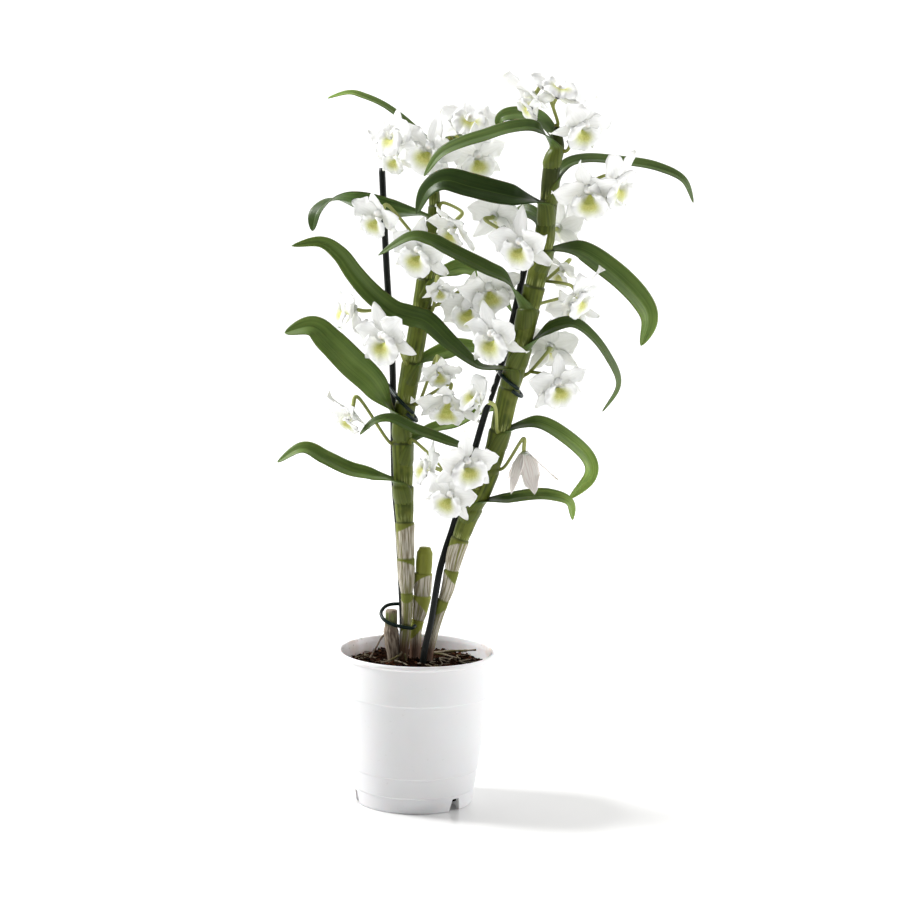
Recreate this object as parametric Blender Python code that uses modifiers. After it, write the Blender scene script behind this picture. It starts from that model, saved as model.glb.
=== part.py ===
"""A dendrobium orchid in flower, in its white plastic nursery pot.

Two long leafy canes and a short cut one stand in bark mix, tied to two thin stakes. Leaves sit
in two rows along the canes, and white blooms hang from the canes' joints on short green stalks.

Lengths are in millimetres and are turned into metres where a mesh is made. The origin is the
centre of the pot's base, +Z is up, and the plant is seen from -Y.
"""

import math

import bmesh
import bpy
import numpy as np
from mathutils import Matrix, Vector

MM = 0.001

# Driving dimensions
RIM_RADIUS = 60.0
POT_HEIGHT = 119.0
BASE_RADIUS = 45.0
POT_WALL = 1.6
FLOOR_TOP = 6.0
MIX_HEIGHT = 107.0
GAP = 0.3
STAKE_RADIUS = 2.6
WIRE_RADIUS = 1.4
LEAF_THICKNESS = 0.9
LEAF_FOLD = 18.0
PETAL_THICKNESS = 0.7
RING_RADIUS = 4.5
RECEPTACLE_DEPTH = 2.5
CLAW_ANGLE = 22.0
TRUMPET_ANGLE = 140.0
STALK_RADIUS = 1.4

# Centrelines of the canes from foot to tip, and their radii at heights
LEFT_CANE = ((-10, 0, 88), (-10, 0, 116), (-8, 2, 146), (-9, 3, 176), (-11, 5, 217), (-13, 7, 255),
             (-14, 9, 285), (-11, 11, 320), (-5, 13, 359), (2, 16, 407), (6, 17, 433), (7, 19, 460),
             (6, 20, 483), (10, 21, 496), (18, 22, 511))
LEFT_RADII = ((88, 3.4), (118, 3.5), (150, 4.0), (162, 4.5), (176, 6.3), (218, 7.0), (255, 7.7),
              (340, 7.5), (400, 7.2), (432, 6.0), (463, 4.6), (485, 3.4), (511, 2.2))
LEFT_JOINTS = (138, 163, 190, 218, 246, 279, 310, 341, 381, 405, 431, 461, 485)
RIGHT_CANE = ((8, -4, 88), (10, -4, 118), (16, -6, 148), (23, -7, 169), (29, -9, 199), (39, -11, 229),
              (49, -12, 251), (57, -14, 279), (65, -17, 319), (71, -18, 344), (79, -21, 383),
              (85, -23, 412), (90, -24, 437), (94, -28, 495), (98, -29, 512), (97, -30, 526))
RIGHT_RADII = ((88, 3.0), (120, 3.1), (140, 3.8), (160, 4.4), (184, 5.6), (200, 6.7), (240, 7.5),
               (300, 7.9), (400, 7.9), (433, 7.2), (470, 6.6), (500, 6.4), (513, 4.8), (526, 2.8))
RIGHT_JOINTS = (160, 184, 209, 232, 264, 294, 327, 358, 389, 406, 434, 471, 508)
SHORT_CANE = ((-2, 8, 88), (-1, 8, 120), (-1, 8, 132), (1, 8, 143), (3, 9, 155), (4, 9, 175), (5, 9, 198))
SHORT_RADII = ((88, 4.0), (138, 4.4), (146, 5.6), (158, 6.8), (175, 6.8), (198, 6.0))
SHORT_JOINTS = (141, 160, 178)
STUB = ((-17, 0, 92), (-18, 0, 112), (-19, 0, 124), (-20, 1, 134), (-20, 1, 150))
STUB_RADII = ((92, 3.4), (112, 4.2), (124, 5.3), (133, 5.7), (137, 4.7), (150, 4.6))
LEFT_STAKE = ((-11, 11, 88), (-11, 11, 120), (-12, 12, 152), (-16, 15, 210), (-20, 17, 253),
              (-23, 24, 337), (-29, 28, 413), (-34, 34, 488))
RIGHT_STAKE = ((3, -12, 92), (6.5, -12, 123), (11, -11.5, 145), (16, -8.5, 180), (21, -4.5, 200),
               (26, -2, 216), (35, -1, 251), (48, -2, 302), (62, -3, 349), (78, -4, 426))

# Leaves: cane, height of the base, widest width, where the upper side looks from base to tip,
# and the points that the midrib passes after it leaves the cane
LEAVES = {
    "leaf_01": ("left", 500, 11, ((0.1, -0.4, 0.9), (-0.2, -0.4, 0.9)),
                ((-9, 12, 519), (-30, 8, 535), (-48, 5, 543), (-59, 4, 546), (-75, 2, 542))),
    "leaf_02": ("left", 450, 22, ((0.1, 0.9, 0.4), (0.1, 0.8, 0.6), (-0.4, -0.15, 0.9), (-0.6, -0.8, 0.2)),
                ((-25, 12, 457), (-52, 7, 463), (-70, 3, 465), (-81, -2, 456), (-85, -4, 442))),
    "leaf_03": ("right", 340, 18, ((0.5, -0.4, 0.8), (0.2, -0.9, 0.3), (-0.3, -0.85, 0.4), (0.1, -0.9, 0.4)),
                ((44, -27, 344), (21, -19, 360), (3, -9, 375), (-10, -6, 379), (-23, -4, 383),
                 (-39, 0, 395), (-52, 2, 409), (-64, 3, 424), (-79, 3, 433), (-101, 0, 430))),
    "leaf_04": ("right", 387, 17, ((0.4, -0.6, 0.7), (-0.1, -0.6, 0.8)),
                ((63, -34, 410), (47, -37, 419), (31, -38, 427), (16, -39, 434), (4, -39, 440),
                 (-11, -38, 442), (-34, -36, 428))),
    "leaf_05": ("right", 466, 22, ((0.1, -0.75, 0.65), (-0.6, -0.8, 0.4)),
                ((69, -38, 473), (51, -40, 477), (33, -40, 481), (15, -38, 485), (2, -35, 477),
                 (-6, -32, 459))),
    "leaf_06": ("right", 509, 17, ((0.4, -0.5, 0.8), (0.0, -0.5, 0.85), (-0.4, -0.6, 0.6)),
                ((86, -39, 522), (77, -41, 526), (62, -42, 524), (45, -42, 519), (27, -42, 513),
                 (11, -40, 504), (-1, -38, 488))),
    "leaf_07": ("right", 514, 15, ((0.2, -0.6, 0.8), (-0.5, -0.6, 0.4)),
                ((86, -10, 529), (70, 0, 533), (57, 4, 530), (54, 6, 521))),
    "leaf_08": ("right", 482, 16, ((-0.2, -0.4, 0.9), (0.1, -0.4, 0.9), (0.6, -0.5, 0.6)),
                ((105, -20, 496), (123, -14, 501), (149, -12, 499), (174, -11, 495), (193, -10, 487),
                 (202, -8, 470))),
    "leaf_09": ("right", 430, 24, ((-0.2, -0.7, 0.7), (0.5, -0.85, 0.2)),
                ((117, -16, 432), (142, -11, 416), (164, -7, 395), (171, -6, 380), (166, -5, 360))),
    "leaf_10": ("right", 355, 16, ((-0.2, -0.4, 0.9), (0.8, -0.4, 0.4), (0.9, -0.4, 0.1)),
                ((92, -25, 371), (111, -28, 378), (127, -31, 369), (139, -33, 354), (147, -33, 334),
                 (137, -32, 313))),
    "leaf_11": ("right", 291, 16, ((-0.2, -0.5, 0.8), (0.6, -0.7, 0.3)),
                ((87, -14, 300), (110, -10, 289), (127, -6, 273), (129, -6, 258), (114, -8, 241))),
    "leaf_12": ("right", 236, 16, ((-0.1, -0.4, 0.9), (0.4, -0.5, 0.7)),
                ((65, -20, 241), (80, -24, 245), (98, -26, 246), (113, -25, 242), (117, -24, 228))),
    "leaf_13": ("left", 295, 25, ((0.2, -0.95, 0.3), (-0.1, -0.8, 0.6)),
                ((-36, -5, 325), (-55, -8, 343), (-70, -8, 358), (-84, -6, 369), (-105, -4, 364))),
    "leaf_14": ("left", 247, 17, ((0.1, -0.5, 0.85), (-0.2, -0.6, 0.7)),
                ((-37, -2, 255), (-53, -6, 259), (-73, -9, 269), (-90, -10, 276), (-109, -8, 265))),
    "leaf_15": ("right", 272, 13, ((0.1, -0.5, 0.85), (-0.2, -0.5, 0.85)),
                ((26, -26, 284), (0, -24, 293), (-10, -23, 297), (-23, -22, 302), (-35, -22, 300),
                 (-46, -22, 290))),
    "leaf_16": ("left", 338, 17, ((-0.1, -0.8, 0.6), (0.2, -0.7, 0.7)),
                ((18, 22, 349), (32, 28, 352), (50, 34, 350))),
    "leaf_17": ("left", 403, 16, ((-0.1, -0.7, 0.7), (0.5, -0.6, 0.6)),
                ((21, 24, 411), (33, 30, 412), (51, 35, 404), (68, 38, 379))),
    "leaf_18": ("left", 276, 12, ((-0.1, -0.6, 0.8), (0.2, -0.6, 0.8)),
                ((7, 18, 288), (26, 24, 293), (47, 28, 303), (62, 31, 304))),
    "leaf_19": ("left", 495, 13, ((0.1, -0.7, 0.7), (0.1, -0.7, 0.7)),
                ((17, 34, 505), (22, 43, 512), (28, 54, 512))),
    "leaf_20": ("right", 449, 14, ((0.1, -0.5, 0.9), (-0.6, -0.6, 0.5)),
                ((81, -6, 458), (72, 4, 459), (67, 10, 446))),
}

# Blooms: kind, size, middle, the way it faces, lean of its top sepal in degrees
BLOOMS = {
    "F01": ("open", 1.0, (32, 10, 525), (0.1, -0.75, 0.65), 10),
    "F02": ("open", 0.95, (38, -6, 502), (0.25, -0.85, -0.45), -5),
    "F03": ("open", 1.05, (3, -12, 508), (-0.35, -0.85, -0.35), 20),
    "F04": ("open", 0.85, (-23, -12, 515), (-0.6, -0.7, 0.2), -10),
    "F05": ("cupped", 0.75, (-22, 18, 500), (-0.5, -0.7, -0.5), 0),
    "F06": ("cupped", 0.95, (79, -27, 549), (-0.75, -0.3, -0.6), -20),
    "F07": ("open", 1.0, (97, -27, 550), (0.25, -0.45, 0.85), 30),
    "F08": ("open", 0.95, (116, -42, 529), (0.35, -0.8, -0.5), 15),
    "F09": ("cupped", 1.1, (122, -41, 481), (-0.1, -0.8, -0.6), -10),
    "F10": ("open", 1.05, (141, -36, 487), (0.75, -0.6, -0.3), 30),
    "F11": ("cupped", 0.9, (22, -2, 450), (-0.5, -0.5, -0.7), 0),
    "F12": ("open", 0.9, (52, -16, 457), (0.4, 0.75, 0.2), 0),
    "F13": ("open", 1.0, (73, -50, 441), (-0.5, -0.8, -0.35), 0),
    "F14": ("open", 1.0, (-3, -15, 430), (-0.5, -0.8, -0.35), 8),
    "F15": ("cupped", 0.9, (-34, -2, 456), (-0.55, -0.7, -0.45), 10),
    "F17": ("open", 1.05, (49, -8, 403), (0.2, -0.75, -0.6), -15),
    "F18": ("cupped", 1.0, (36, 10, 387), (-0.3, -0.85, -0.4), 0),
    "F19": ("open", 1.05, (54, -37, 370), (-0.5, -0.8, -0.3), -8),
    "F20": ("open", 1.05, (-28, -22, 365), (-0.5, -0.82, -0.3), -10),
    "F21": ("cupped", 0.9, (-53, 6, 382), (-0.85, -0.3, 0.1), 0),
    "F22": ("cupped", 0.9, (-54, 2, 305), (-0.5, -0.4, -0.75), 0),
    "F23": ("cupped", 1.1, (20, -5, 317), (-0.1, -0.6, -0.8), 0),
    "F24": ("cupped", 0.9, (47, -39, 321), (-0.6, -0.3, 0.4), 20),
    "F25": ("cupped", 0.7, (13, -5, 339), (0.2, -0.6, -0.6), 0),
    "F26": ("cupped", 0.55, (12, -2, 401), (0.2, -0.7, -0.6), 0),
    "F27": ("open", 1.0, (35, -45, 274), (0.3, -0.9, -0.25), -5),
    "F28": ("open", 0.9, (24, -37, 248), (-0.35, -0.85, -0.35), 20),
    "F29": ("open", 0.8, (8, -19, 266), (-0.75, -0.3, 0.2), -8),
    "F30": ("wilted", 0.9, (79, -17, 277), (0.1, 0.0, -1.0), 0),
    "F31": ("cupped", 0.7, (105, 1, 417), (-0.5, -0.55, -0.6), 0),
    "F32": ("cupped", 0.8, (114, 1, 389), (-0.2, -0.75, -0.6), -20),
    "F33": ("open", 0.95, (116, -44, 404), (0.7, -0.5, -0.5), 30),
    "F34": ("open", 0.95, (97, -4, 357), (0.2, 0.85, 0.2), 0),
    "F35": ("open", 0.95, (102, -32, 334), (0.35, -0.85, -0.4), -10),
    "F36": ("cupped", 0.85, (101, 6, 447), (0.5, 0.8, 0.1), 0),
}

# Where each stalk leaves its cane. Two blooms on one stalk make a spray.
SINGLE_BLOOMS = {
    "left": (("F03", 485), ("F11", 461), ("F14", 431), ("F15", 431), ("F20", 341), ("F21", 381),
             ("F22", 279), ("F23", 310), ("F25", 310), ("F26", 381), ("F29", 279)),
    "right": (("F08", 508), ("F12", 434), ("F13", 434), ("F19", 358), ("F24", 294), ("F30", 264),
              ("F32", 389), ("F36", 434)),
}
SPRAYS = {
    "left": (("F01", "F02", 515), ("F04", "F05", 495), ("F17", "F18", 383)),
    "right": (("F06", "F07", 530), ("F09", "F10", 471), ("F27", "F28", 250), ("F31", "F33", 406),
              ("F34", "F35", 337)),
}

# Notches in the pot's foot: how far round from the front, to the right
NOTCH_ANGLES = (45, 165, -75)
NOTCH_HEIGHT = 10.0
NOTCH_FOOT_WIDTH = 12.0
NOTCH_TOP_WIDTH = 5.0


def clear_scene():
    """Start from an empty scene."""
    for thing in list(bpy.data.objects):
        bpy.data.objects.remove(thing, do_unlink=True)


def new_collection(name):
    """A collection linked into the scene."""
    collection = bpy.data.collections.new(name)
    bpy.context.scene.collection.children.link(collection)
    return collection


def new_material(name, colour, roughness):
    """A plain material with one colour."""
    material = bpy.data.materials.new(name)
    material.use_nodes = True
    shader = material.node_tree.nodes["Principled BSDF"]
    shader.inputs["Base Color"].default_value = (*colour, 1.0)
    shader.inputs["Roughness"].default_value = roughness
    material.diffuse_color = (*colour, 1.0)
    return material


clear_scene()
PART = new_collection("dendrobium_orchid")
CUTTERS = new_collection("cutters")
WORK = new_collection("joining")
WHITE_PLASTIC = new_material("white_plastic", (0.86, 0.87, 0.88), 0.35)
BARK = new_material("bark_mix", (0.09, 0.05, 0.03), 0.9)
STAKE_GREEN = new_material("stake_plastic", (0.01, 0.015, 0.015), 0.4)
WIRE_GREEN = new_material("tie_wire", (0.01, 0.04, 0.03), 0.4)
CANE_GREEN = new_material("cane", (0.16, 0.2, 0.05), 0.5)
STUB_BROWN = new_material("old_cane", (0.25, 0.2, 0.12), 0.7)
LEAF_GREEN = new_material("leaf", (0.06, 0.16, 0.03), 0.4)
PETAL_WHITE = new_material("petal", (0.9, 0.91, 0.88), 0.5)


def unit(vector):
    """The vector at length one."""
    vector = np.asarray(vector, float)
    return vector / np.linalg.norm(vector)


def smooth_path(points, count):
    """Points read evenly from the Catmull-Rom curve that passes through the given ones."""
    known = np.asarray(points, float)
    padded = np.vstack([2 * known[0] - known[1], known, 2 * known[-1] - known[-2]])
    along = np.linspace(0, len(known) - 1, count)
    start = np.minimum(along.astype(int), len(known) - 2)
    f = (along - start)[:, None]
    a, b, c, d = (padded[start + k] for k in range(4))
    return 0.5 * (2 * b + (c - a) * f + (2 * a - 5 * b + 4 * c - d) * f**2 + (3 * b - a - 3 * c + d) * f**3)


def mesh_object(name, points, faces, material, collection=PART):
    """A mesh object from points in millimetres."""
    mesh = bpy.data.meshes.new(name)
    mesh.from_pydata([tuple(p) for p in np.asarray(points) * MM], [], faces)
    mesh.materials.append(material)
    thing = bpy.data.objects.new(name, mesh)
    collection.objects.link(thing)
    return thing


def frozen(thing, name, collection=PART):
    """The object as a plain mesh object, with its modifiers applied and its seams welded."""
    bpy.context.view_layer.update()
    mesh = bpy.data.meshes.new_from_object(thing.evaluated_get(bpy.context.evaluated_depsgraph_get()))
    body = bmesh.new()
    body.from_mesh(mesh)
    bmesh.ops.remove_doubles(body, verts=body.verts, dist=1e-6)
    body.to_mesh(mesh)
    body.free()
    solid = bpy.data.objects.new(name, mesh)
    solid.matrix_world = thing.matrix_world
    collection.objects.link(solid)
    bpy.data.objects.remove(thing, do_unlink=True)
    return solid


def tube(name, path, radii, material, fineness=2, collection=PART):
    """A closed round bar along a path, with a radius at each point."""
    curve = bpy.data.curves.new(name, "CURVE")
    curve.dimensions = "3D"
    curve.bevel_depth = MM
    curve.bevel_resolution = fineness
    curve.use_fill_caps = True
    spline = curve.splines.new("POLY")
    spline.points.add(len(path) - 1)
    spline.points.foreach_set("co", np.hstack([np.asarray(path) * MM, np.ones((len(path), 1))]).ravel())
    spline.points.foreach_set("radius", np.broadcast_to(np.asarray(radii, float), len(path)).copy())
    curve.materials.append(material)
    thing = bpy.data.objects.new(name, curve)
    collection.objects.link(thing)
    return thing


def united(name, solids, material):
    """One closed body from solids that overlap, by a Boolean union on the working collection."""
    first, others = solids[0], solids[1:]
    WORK.objects.unlink(first)
    CUTTERS.objects.link(first)
    join = first.modifiers.new("join", "BOOLEAN")
    join.operation = "UNION"
    join.operand_type = "COLLECTION"
    join.collection = WORK
    join.solver = "EXACT"
    body = frozen(first, name)
    for other in others:
        bpy.data.objects.remove(other, do_unlink=True)
    body.data.materials.clear()
    body.data.materials.append(material)
    return body


def stem_at(path, radii, height):
    """The centre of a stem's curve at a height, and its radius there before any swelling."""
    points = smooth_path(path, 200)
    centre = np.array([np.interp(height, points[:, 2], points[:, k]) for k in range(3)])
    return centre, float(np.interp(height, *np.transpose(radii)))


def cane_rings(path, radii, joints):
    """Centres and radii up a cane: each length is slim above a joint and widest below the next."""
    foot, tip = path[0][2], path[-1][2]
    edges = [foot, *joints, tip]
    rings = [(foot, 1.0)]
    for low, high in zip(edges, edges[1:]):
        if high - low > 40:
            rings.append((0.5 * (low + high), 1.0))
        if high != tip:
            rings += [(high - 1.0, 1.06), (high + 2.0, 0.93)]
    rings.append((tip, 0.7))
    stems = [stem_at(path, radii, z) for z, _ in rings]
    return np.array([c for c, _ in stems]), np.array([r * f for (_, r), (_, f) in zip(stems, rings)])


CANES = {
    "left": cane_rings(LEFT_CANE, LEFT_RADII, LEFT_JOINTS),
    "right": cane_rings(RIGHT_CANE, RIGHT_RADII, RIGHT_JOINTS),
    "short": cane_rings(SHORT_CANE, SHORT_RADII, SHORT_JOINTS),
}


def cane_at(cane, height):
    """A long cane's centre, radius and direction at a height."""
    centres, radii = CANES[cane]
    centre = np.array([np.interp(height, centres[:, 2], centres[:, k]) for k in range(3)])
    ring = min(max(int(np.searchsorted(centres[:, 2], height)), 1), len(radii) - 1)
    return centre, float(np.interp(height, centres[:, 2], radii)), unit(centres[ring] - centres[ring - 1])


def off_cane(cane, height, towards, distance):
    """The level way out of a cane towards a point, and the place that far off the cane's skin."""
    centre, radius, rise = cane_at(cane, height)
    out = unit(np.array([*(np.asarray(towards, float) - centre)[:2], 0.0]))
    reach = radius / math.sqrt(1 - (out @ rise) ** 2)
    return out, centre + out * (reach + distance)


def cane_solid(cane):
    """A jointed cane as a closed bar."""
    return frozen(tube("cane", *CANES[cane], CANE_GREEN, 2, WORK), "cane", WORK)


def blade_grid(rows, columns):
    """Triangles of a grid of points, split towards the middle column on both sides."""
    faces = []
    for i in range(rows - 1):
        for j in range(columns - 1):
            a = i * columns + j
            b = a + columns
            if 2 * j < columns - 1:
                faces += [(a, a + 1, b + 1), (a, b + 1, b)]
            else:
                faces += [(a, a + 1, b), (a + 1, b + 1, b)]
    return faces


def sheet_solid(name, points, faces, thickness, material, collection=PART):
    """A thin closed solid: an open sheet of triangles, thickened alike to both sides."""
    thing = mesh_object(name, points, faces, material, collection)
    body = bmesh.new()
    body.from_mesh(thing.data)
    bmesh.ops.remove_doubles(body, verts=body.verts, dist=1e-5)
    bmesh.ops.recalc_face_normals(body, faces=body.faces)
    body.to_mesh(thing.data)
    body.free()
    wall = thing.modifiers.new("thickness", "SOLIDIFY")
    wall.thickness = thickness * MM
    wall.offset = 0.0
    return thing


def leaf_points(spine, width, faces, rows, columns):
    """A strap leaf: flat at its base, and from there the two halves rise in a shallow V.

    The half width grows from the narrow base over the first third and closes at the tip. The
    side direction is square to the midrib and to a facing, which is the stem's side at the base
    and turns through the given directions from there to the tip.
    """
    line = smooth_path(spine, rows)
    s = np.linspace(0, 1, rows)[:, None]
    run = np.gradient(line, axis=0)
    run /= np.linalg.norm(run, axis=1)[:, None]
    stops = np.linspace(0, 1, len(faces))
    looks = np.array([unit(face) for face in faces])
    facing = np.stack([np.interp(s[:, 0], stops, looks[:, k]) for k in range(3)], axis=1)
    out = unit(run[0] * (1, 1, 0))
    inner = np.array([0, 0, run[0] @ out]) - out * run[0][2]
    near = np.clip(1 - s / 0.2, 0, 1)
    facing = near * inner + (1 - near) * facing
    facing -= (facing * run).sum(1)[:, None] * run
    facing /= np.linalg.norm(facing, axis=1)[:, None]
    side = np.cross(facing, run)
    half = 0.5 * width * (0.2 + 0.8 * np.sin(0.5 * np.pi * np.minimum(s / 0.35, 1.0)))
    half = half * (1 - s**4) ** 0.6
    v = np.linspace(-1, 1, columns)[None, :, None]
    fold = (math.radians(LEAF_FOLD) * np.minimum(s / 0.2, 1.0))[:, :, None]
    across = side[:, None] * v * np.cos(fold) + facing[:, None] * abs(v) * np.sin(fold)
    return (line[:, None] + across * half[:, None]).reshape(-1, 3)


def make_leaf(name, cane, height, width, faces, points):
    """One leaf, whose base edge stands just off the cane."""
    _, base = off_cane(cane, height, points[0], GAP + 0.2 * LEAF_THICKNESS)
    rows, columns = 7, 3
    grid = leaf_points([base, *points], width, faces, rows, columns)
    return sheet_solid(name, grid, blade_grid(rows, columns), LEAF_THICKNESS, LEAF_GREEN)


def petal_points(angle, length, width, base, lift, bend, ruffle, rows):
    """A sepal or petal that leaves the bloom's middle at an angle from its top, three points wide.

    Its half width follows a sine of s to the power 0.8, so it is widest past a third of the way.
    It rises by lift and bends by bend times s squared, and its edges wave by ruffle.
    """
    s = np.linspace(0, 1, rows)[:, None]
    v = np.linspace(-1, 1, 3)[None, :]
    half = 0.5 * width * (0.22 * (1 - s) + np.sin(np.pi * s**0.8) ** 0.8)
    reach = RING_RADIUS + length * s
    sideways = half * v
    height = base + length * (lift * s + bend * s**2) + 0.12 * half * v**2 * s
    height = height + ruffle * v**2 * np.sin(2 * np.pi * s + 1.2 * np.sign(v)) * np.sin(np.pi * s)
    a = math.radians(angle)
    x = reach * math.sin(a) + sideways * math.cos(a)
    y = reach * math.cos(a) - sideways * math.sin(a)
    return np.stack([x, y, height], axis=-1)


def lip_points(opening, rise, rows, columns):
    """The lip: a narrow claw that widens into a trumpet open at the top, with a broad round front.

    The angle runs from the bottom to either side. Along the lip it opens from the claw's angle
    to the trumpet's, while the radius keeps to a tube up to the throat and then flares, most at
    the bottom, and the edge turns a little back.
    """
    s = np.linspace(0, 1, rows)[:, None]
    v = np.linspace(1, -1, columns)[None, :]
    wrap = np.minimum(s / 0.35, 1)
    flare = np.clip((s - 0.35) / 0.65, 0, 1)
    angle = np.radians(CLAW_ANGLE + (TRUMPET_ANGLE - CLAW_ANGLE) * wrap) * v
    reach = RING_RADIUS + 0.5 * wrap + (5.0 + 7.0 * np.cos(0.5 * angle) ** 2) * opening * flare
    ahead = (8.0 + rise) * np.minimum(s / 0.45, 1) + 5.0 * flare - 5.2 * flare**3 * opening
    return np.stack([reach * np.sin(angle), -reach * np.cos(angle) - 2.0 * flare, ahead + 0 * angle], axis=-1)


KINDS = {
    # kind: sepal lift and bend, petal lift and bend, lip opening and rise, slimness
    "open": (0.05, -0.12, 0.22, -0.22, 1.0, 0.0, 1.0),
    "cupped": (0.45, -0.25, 0.60, -0.35, 0.85, 2.5, 1.0),
    "wilted": (1.3, -0.1, 1.5, -0.2, 0.2, 4.0, 0.55),
}


def bloom_solid(name, kind, size, placement, collection=PART):
    """One bloom as a single folded sheet, thickened alike to both sides.

    Three sepals, two petals and the lip leave a ring in turn, clockwise from the top, and the
    ring's inside closes in a shallow cone, whose back takes the stalk.
    """
    sepal_lift, sepal_bend, petal_lift, petal_bend, opening, rise, slim = KINDS[kind]
    sepal = (21.0, 12.0 * slim, 0.0, sepal_lift, sepal_bend, 0.0, 3)
    petal = (19.5, 19.5 * slim, 1.6, petal_lift, petal_bend, 1.3, 4)
    flaps = [petal_points(0, *sepal), petal_points(70, *petal), petal_points(128, *sepal),
             lip_points(opening, rise, 3, 5), petal_points(232, *sepal), petal_points(290, *petal)]
    points, faces, ring = [], [], []
    for flap in flaps:
        rows, columns, _ = flap.shape
        ring += range(len(points), len(points) + columns)
        faces += [tuple(len(points) + k for k in face) for face in blade_grid(rows, columns)]
        points += list(flap.reshape(-1, 3))
    faces += [(a, b, len(points)) for a, b in zip(ring, ring[1:] + ring[:1])]
    points.append((0, 0, -RECEPTACLE_DEPTH))
    thing = sheet_solid(name, np.array(points) * size, faces, PETAL_THICKNESS, PETAL_WHITE, collection)
    thing.matrix_world = placement
    return thing


def bloom_placement(middle, faces, lean):
    """The matrix that puts a bloom made facing +Z, top sepal at +Y, in its place."""
    ahead = Vector(faces).normalized()
    up = Vector((0, 0, 1)) - ahead * ahead.z
    if up.length < 0.05:
        up = Vector((0, 1, 0))
    up.normalize()
    side = up.cross(ahead)
    angle = math.radians(lean)
    top = up * math.cos(angle) + side * math.sin(angle)
    side = top.cross(ahead)
    turn = Matrix((side, top, ahead)).transposed().to_4x4()
    return Matrix.Translation(Vector(middle) * MM) @ turn


def stalk_end(bloom, gap):
    """The last two points of a stalk: behind the bloom, and at its back with a gap."""
    _, size, middle, faces, _ = BLOOMS[bloom]
    ahead = unit(faces)
    back = np.asarray(middle, float) - ahead * ((RECEPTACLE_DEPTH + 0.5 * PETAL_THICKNESS) * size + gap)
    return [back - ahead * 9.0, back]


def stalk_start(cane, height, towards, inside):
    """The first two points of a stalk: inside its cane or just off its skin, and 5 mm out and up."""
    top = CANES[cane][0][-1]
    if height > top[2]:
        return [top + (0, 0, 3.3 * GAP), top + (0, 0, 6)]
    out, clear = off_cane(cane, height, towards, 5.0)
    clear = clear + (0, 0, 3.0)
    if inside:
        return [cane_at(cane, height)[0], clear]
    leaves = unit(clear - off_cane(cane, height, towards, GAP)[1])
    seat = 0.8 * GAP + STALK_RADIUS * math.sqrt(1 - (leaves @ out) ** 2)
    return [off_cane(cane, height, towards, seat)[1], clear]


def stalk_solid(points):
    """A stalk through the points, a little thicker at the bloom, where the seed case is."""
    path = smooth_path(points, 4)
    radii = STALK_RADIUS * np.array([1.0, 0.85, 1.0, 1.15])
    return frozen(tube("stalk", path, radii, CANE_GREEN, 1, WORK), "stalk", WORK)


def single_stalks(cane):
    """The stalks of a cane's single blooms, rooted in the cane."""
    stalks = []
    for bloom, height in SINGLE_BLOOMS[cane]:
        end = stalk_end(bloom, GAP)
        stalks.append(stalk_solid([*stalk_start(cane, height, end[0], True), *end]))
    return stalks


def root(points, thickness):
    """A thin root along the points."""
    return frozen(tube("root", smooth_path(points, 7), thickness, CANE_GREEN, 1, WORK), "root", WORK)


def make_canes():
    """The two long canes with the stalks of their single blooms, and the short cane and stub."""
    left = [cane_solid("left")]
    left += single_stalks("left")
    left.append(root(((-10, 0, 120), (-13, -5, 116), (-20, -9, 112.5), (-27, -11, 111)), 0.9))
    left.append(root(((-10, 0, 119), (-9, -3, 116), (-8, -5, 112), (-7.5, -6, 110.5)), 0.9))
    united("cane_left", left, CANE_GREEN)
    united("cane_right", [cane_solid("right"), *single_stalks("right")], CANE_GREEN)
    short = [cane_solid("short")]
    short.append(root(((-1, 8, 118), (4, 14, 114), (12, 20, 112), (20, 18, 112), (26, 11, 112),
                       (34, 5, 111.5)), 0.9))
    short.append(root(((12, 20, 112), (24, 24, 113), (37, 23, 114), (46, 18, 116)), 1.1))
    united("cane_short", short, CANE_GREEN)
    stub_line = smooth_path(STUB, 7)
    stub_radii = np.interp(stub_line[:, 2], *np.transpose(STUB_RADII))
    stub = [frozen(tube("stub", stub_line, stub_radii, STUB_BROWN, 2, WORK), "stub", WORK)]
    stub.append(root(((-18, 3, 133), (-26, 3, 129), (-31, 4, 120), (-36, 4, 111)), 0.9))
    united("old_stub", stub, STUB_BROWN)


def make_blooms():
    """Every bloom: single ones on their own, sprays of two with their forked stalk."""
    for cane in SINGLE_BLOOMS:
        for bloom, _ in SINGLE_BLOOMS[cane]:
            kind, size, middle, faces, lean = BLOOMS[bloom]
            bloom_solid(f"bloom_{bloom[1:]}", kind, size, bloom_placement(middle, faces, lean))
    for cane, sprays in SPRAYS.items():
        for first, second, height in sprays:
            solids = []
            for bloom in (first, second):
                kind, size, middle, faces, lean = BLOOMS[bloom]
                loose = bloom_solid("loose", kind, size, bloom_placement(middle, faces, lean), WORK)
                solids.append(frozen(loose, "loose", WORK))
            end = stalk_end(first, -1.2)
            start = stalk_start(cane, height, end[0], False)
            solids.append(stalk_solid([*start, *end]))
            solids.append(stalk_solid([start[1], *stalk_end(second, -1.2)]))
            united(f"spray_{first[1:]}_{second[1:]}", solids, PETAL_WHITE)


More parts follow.
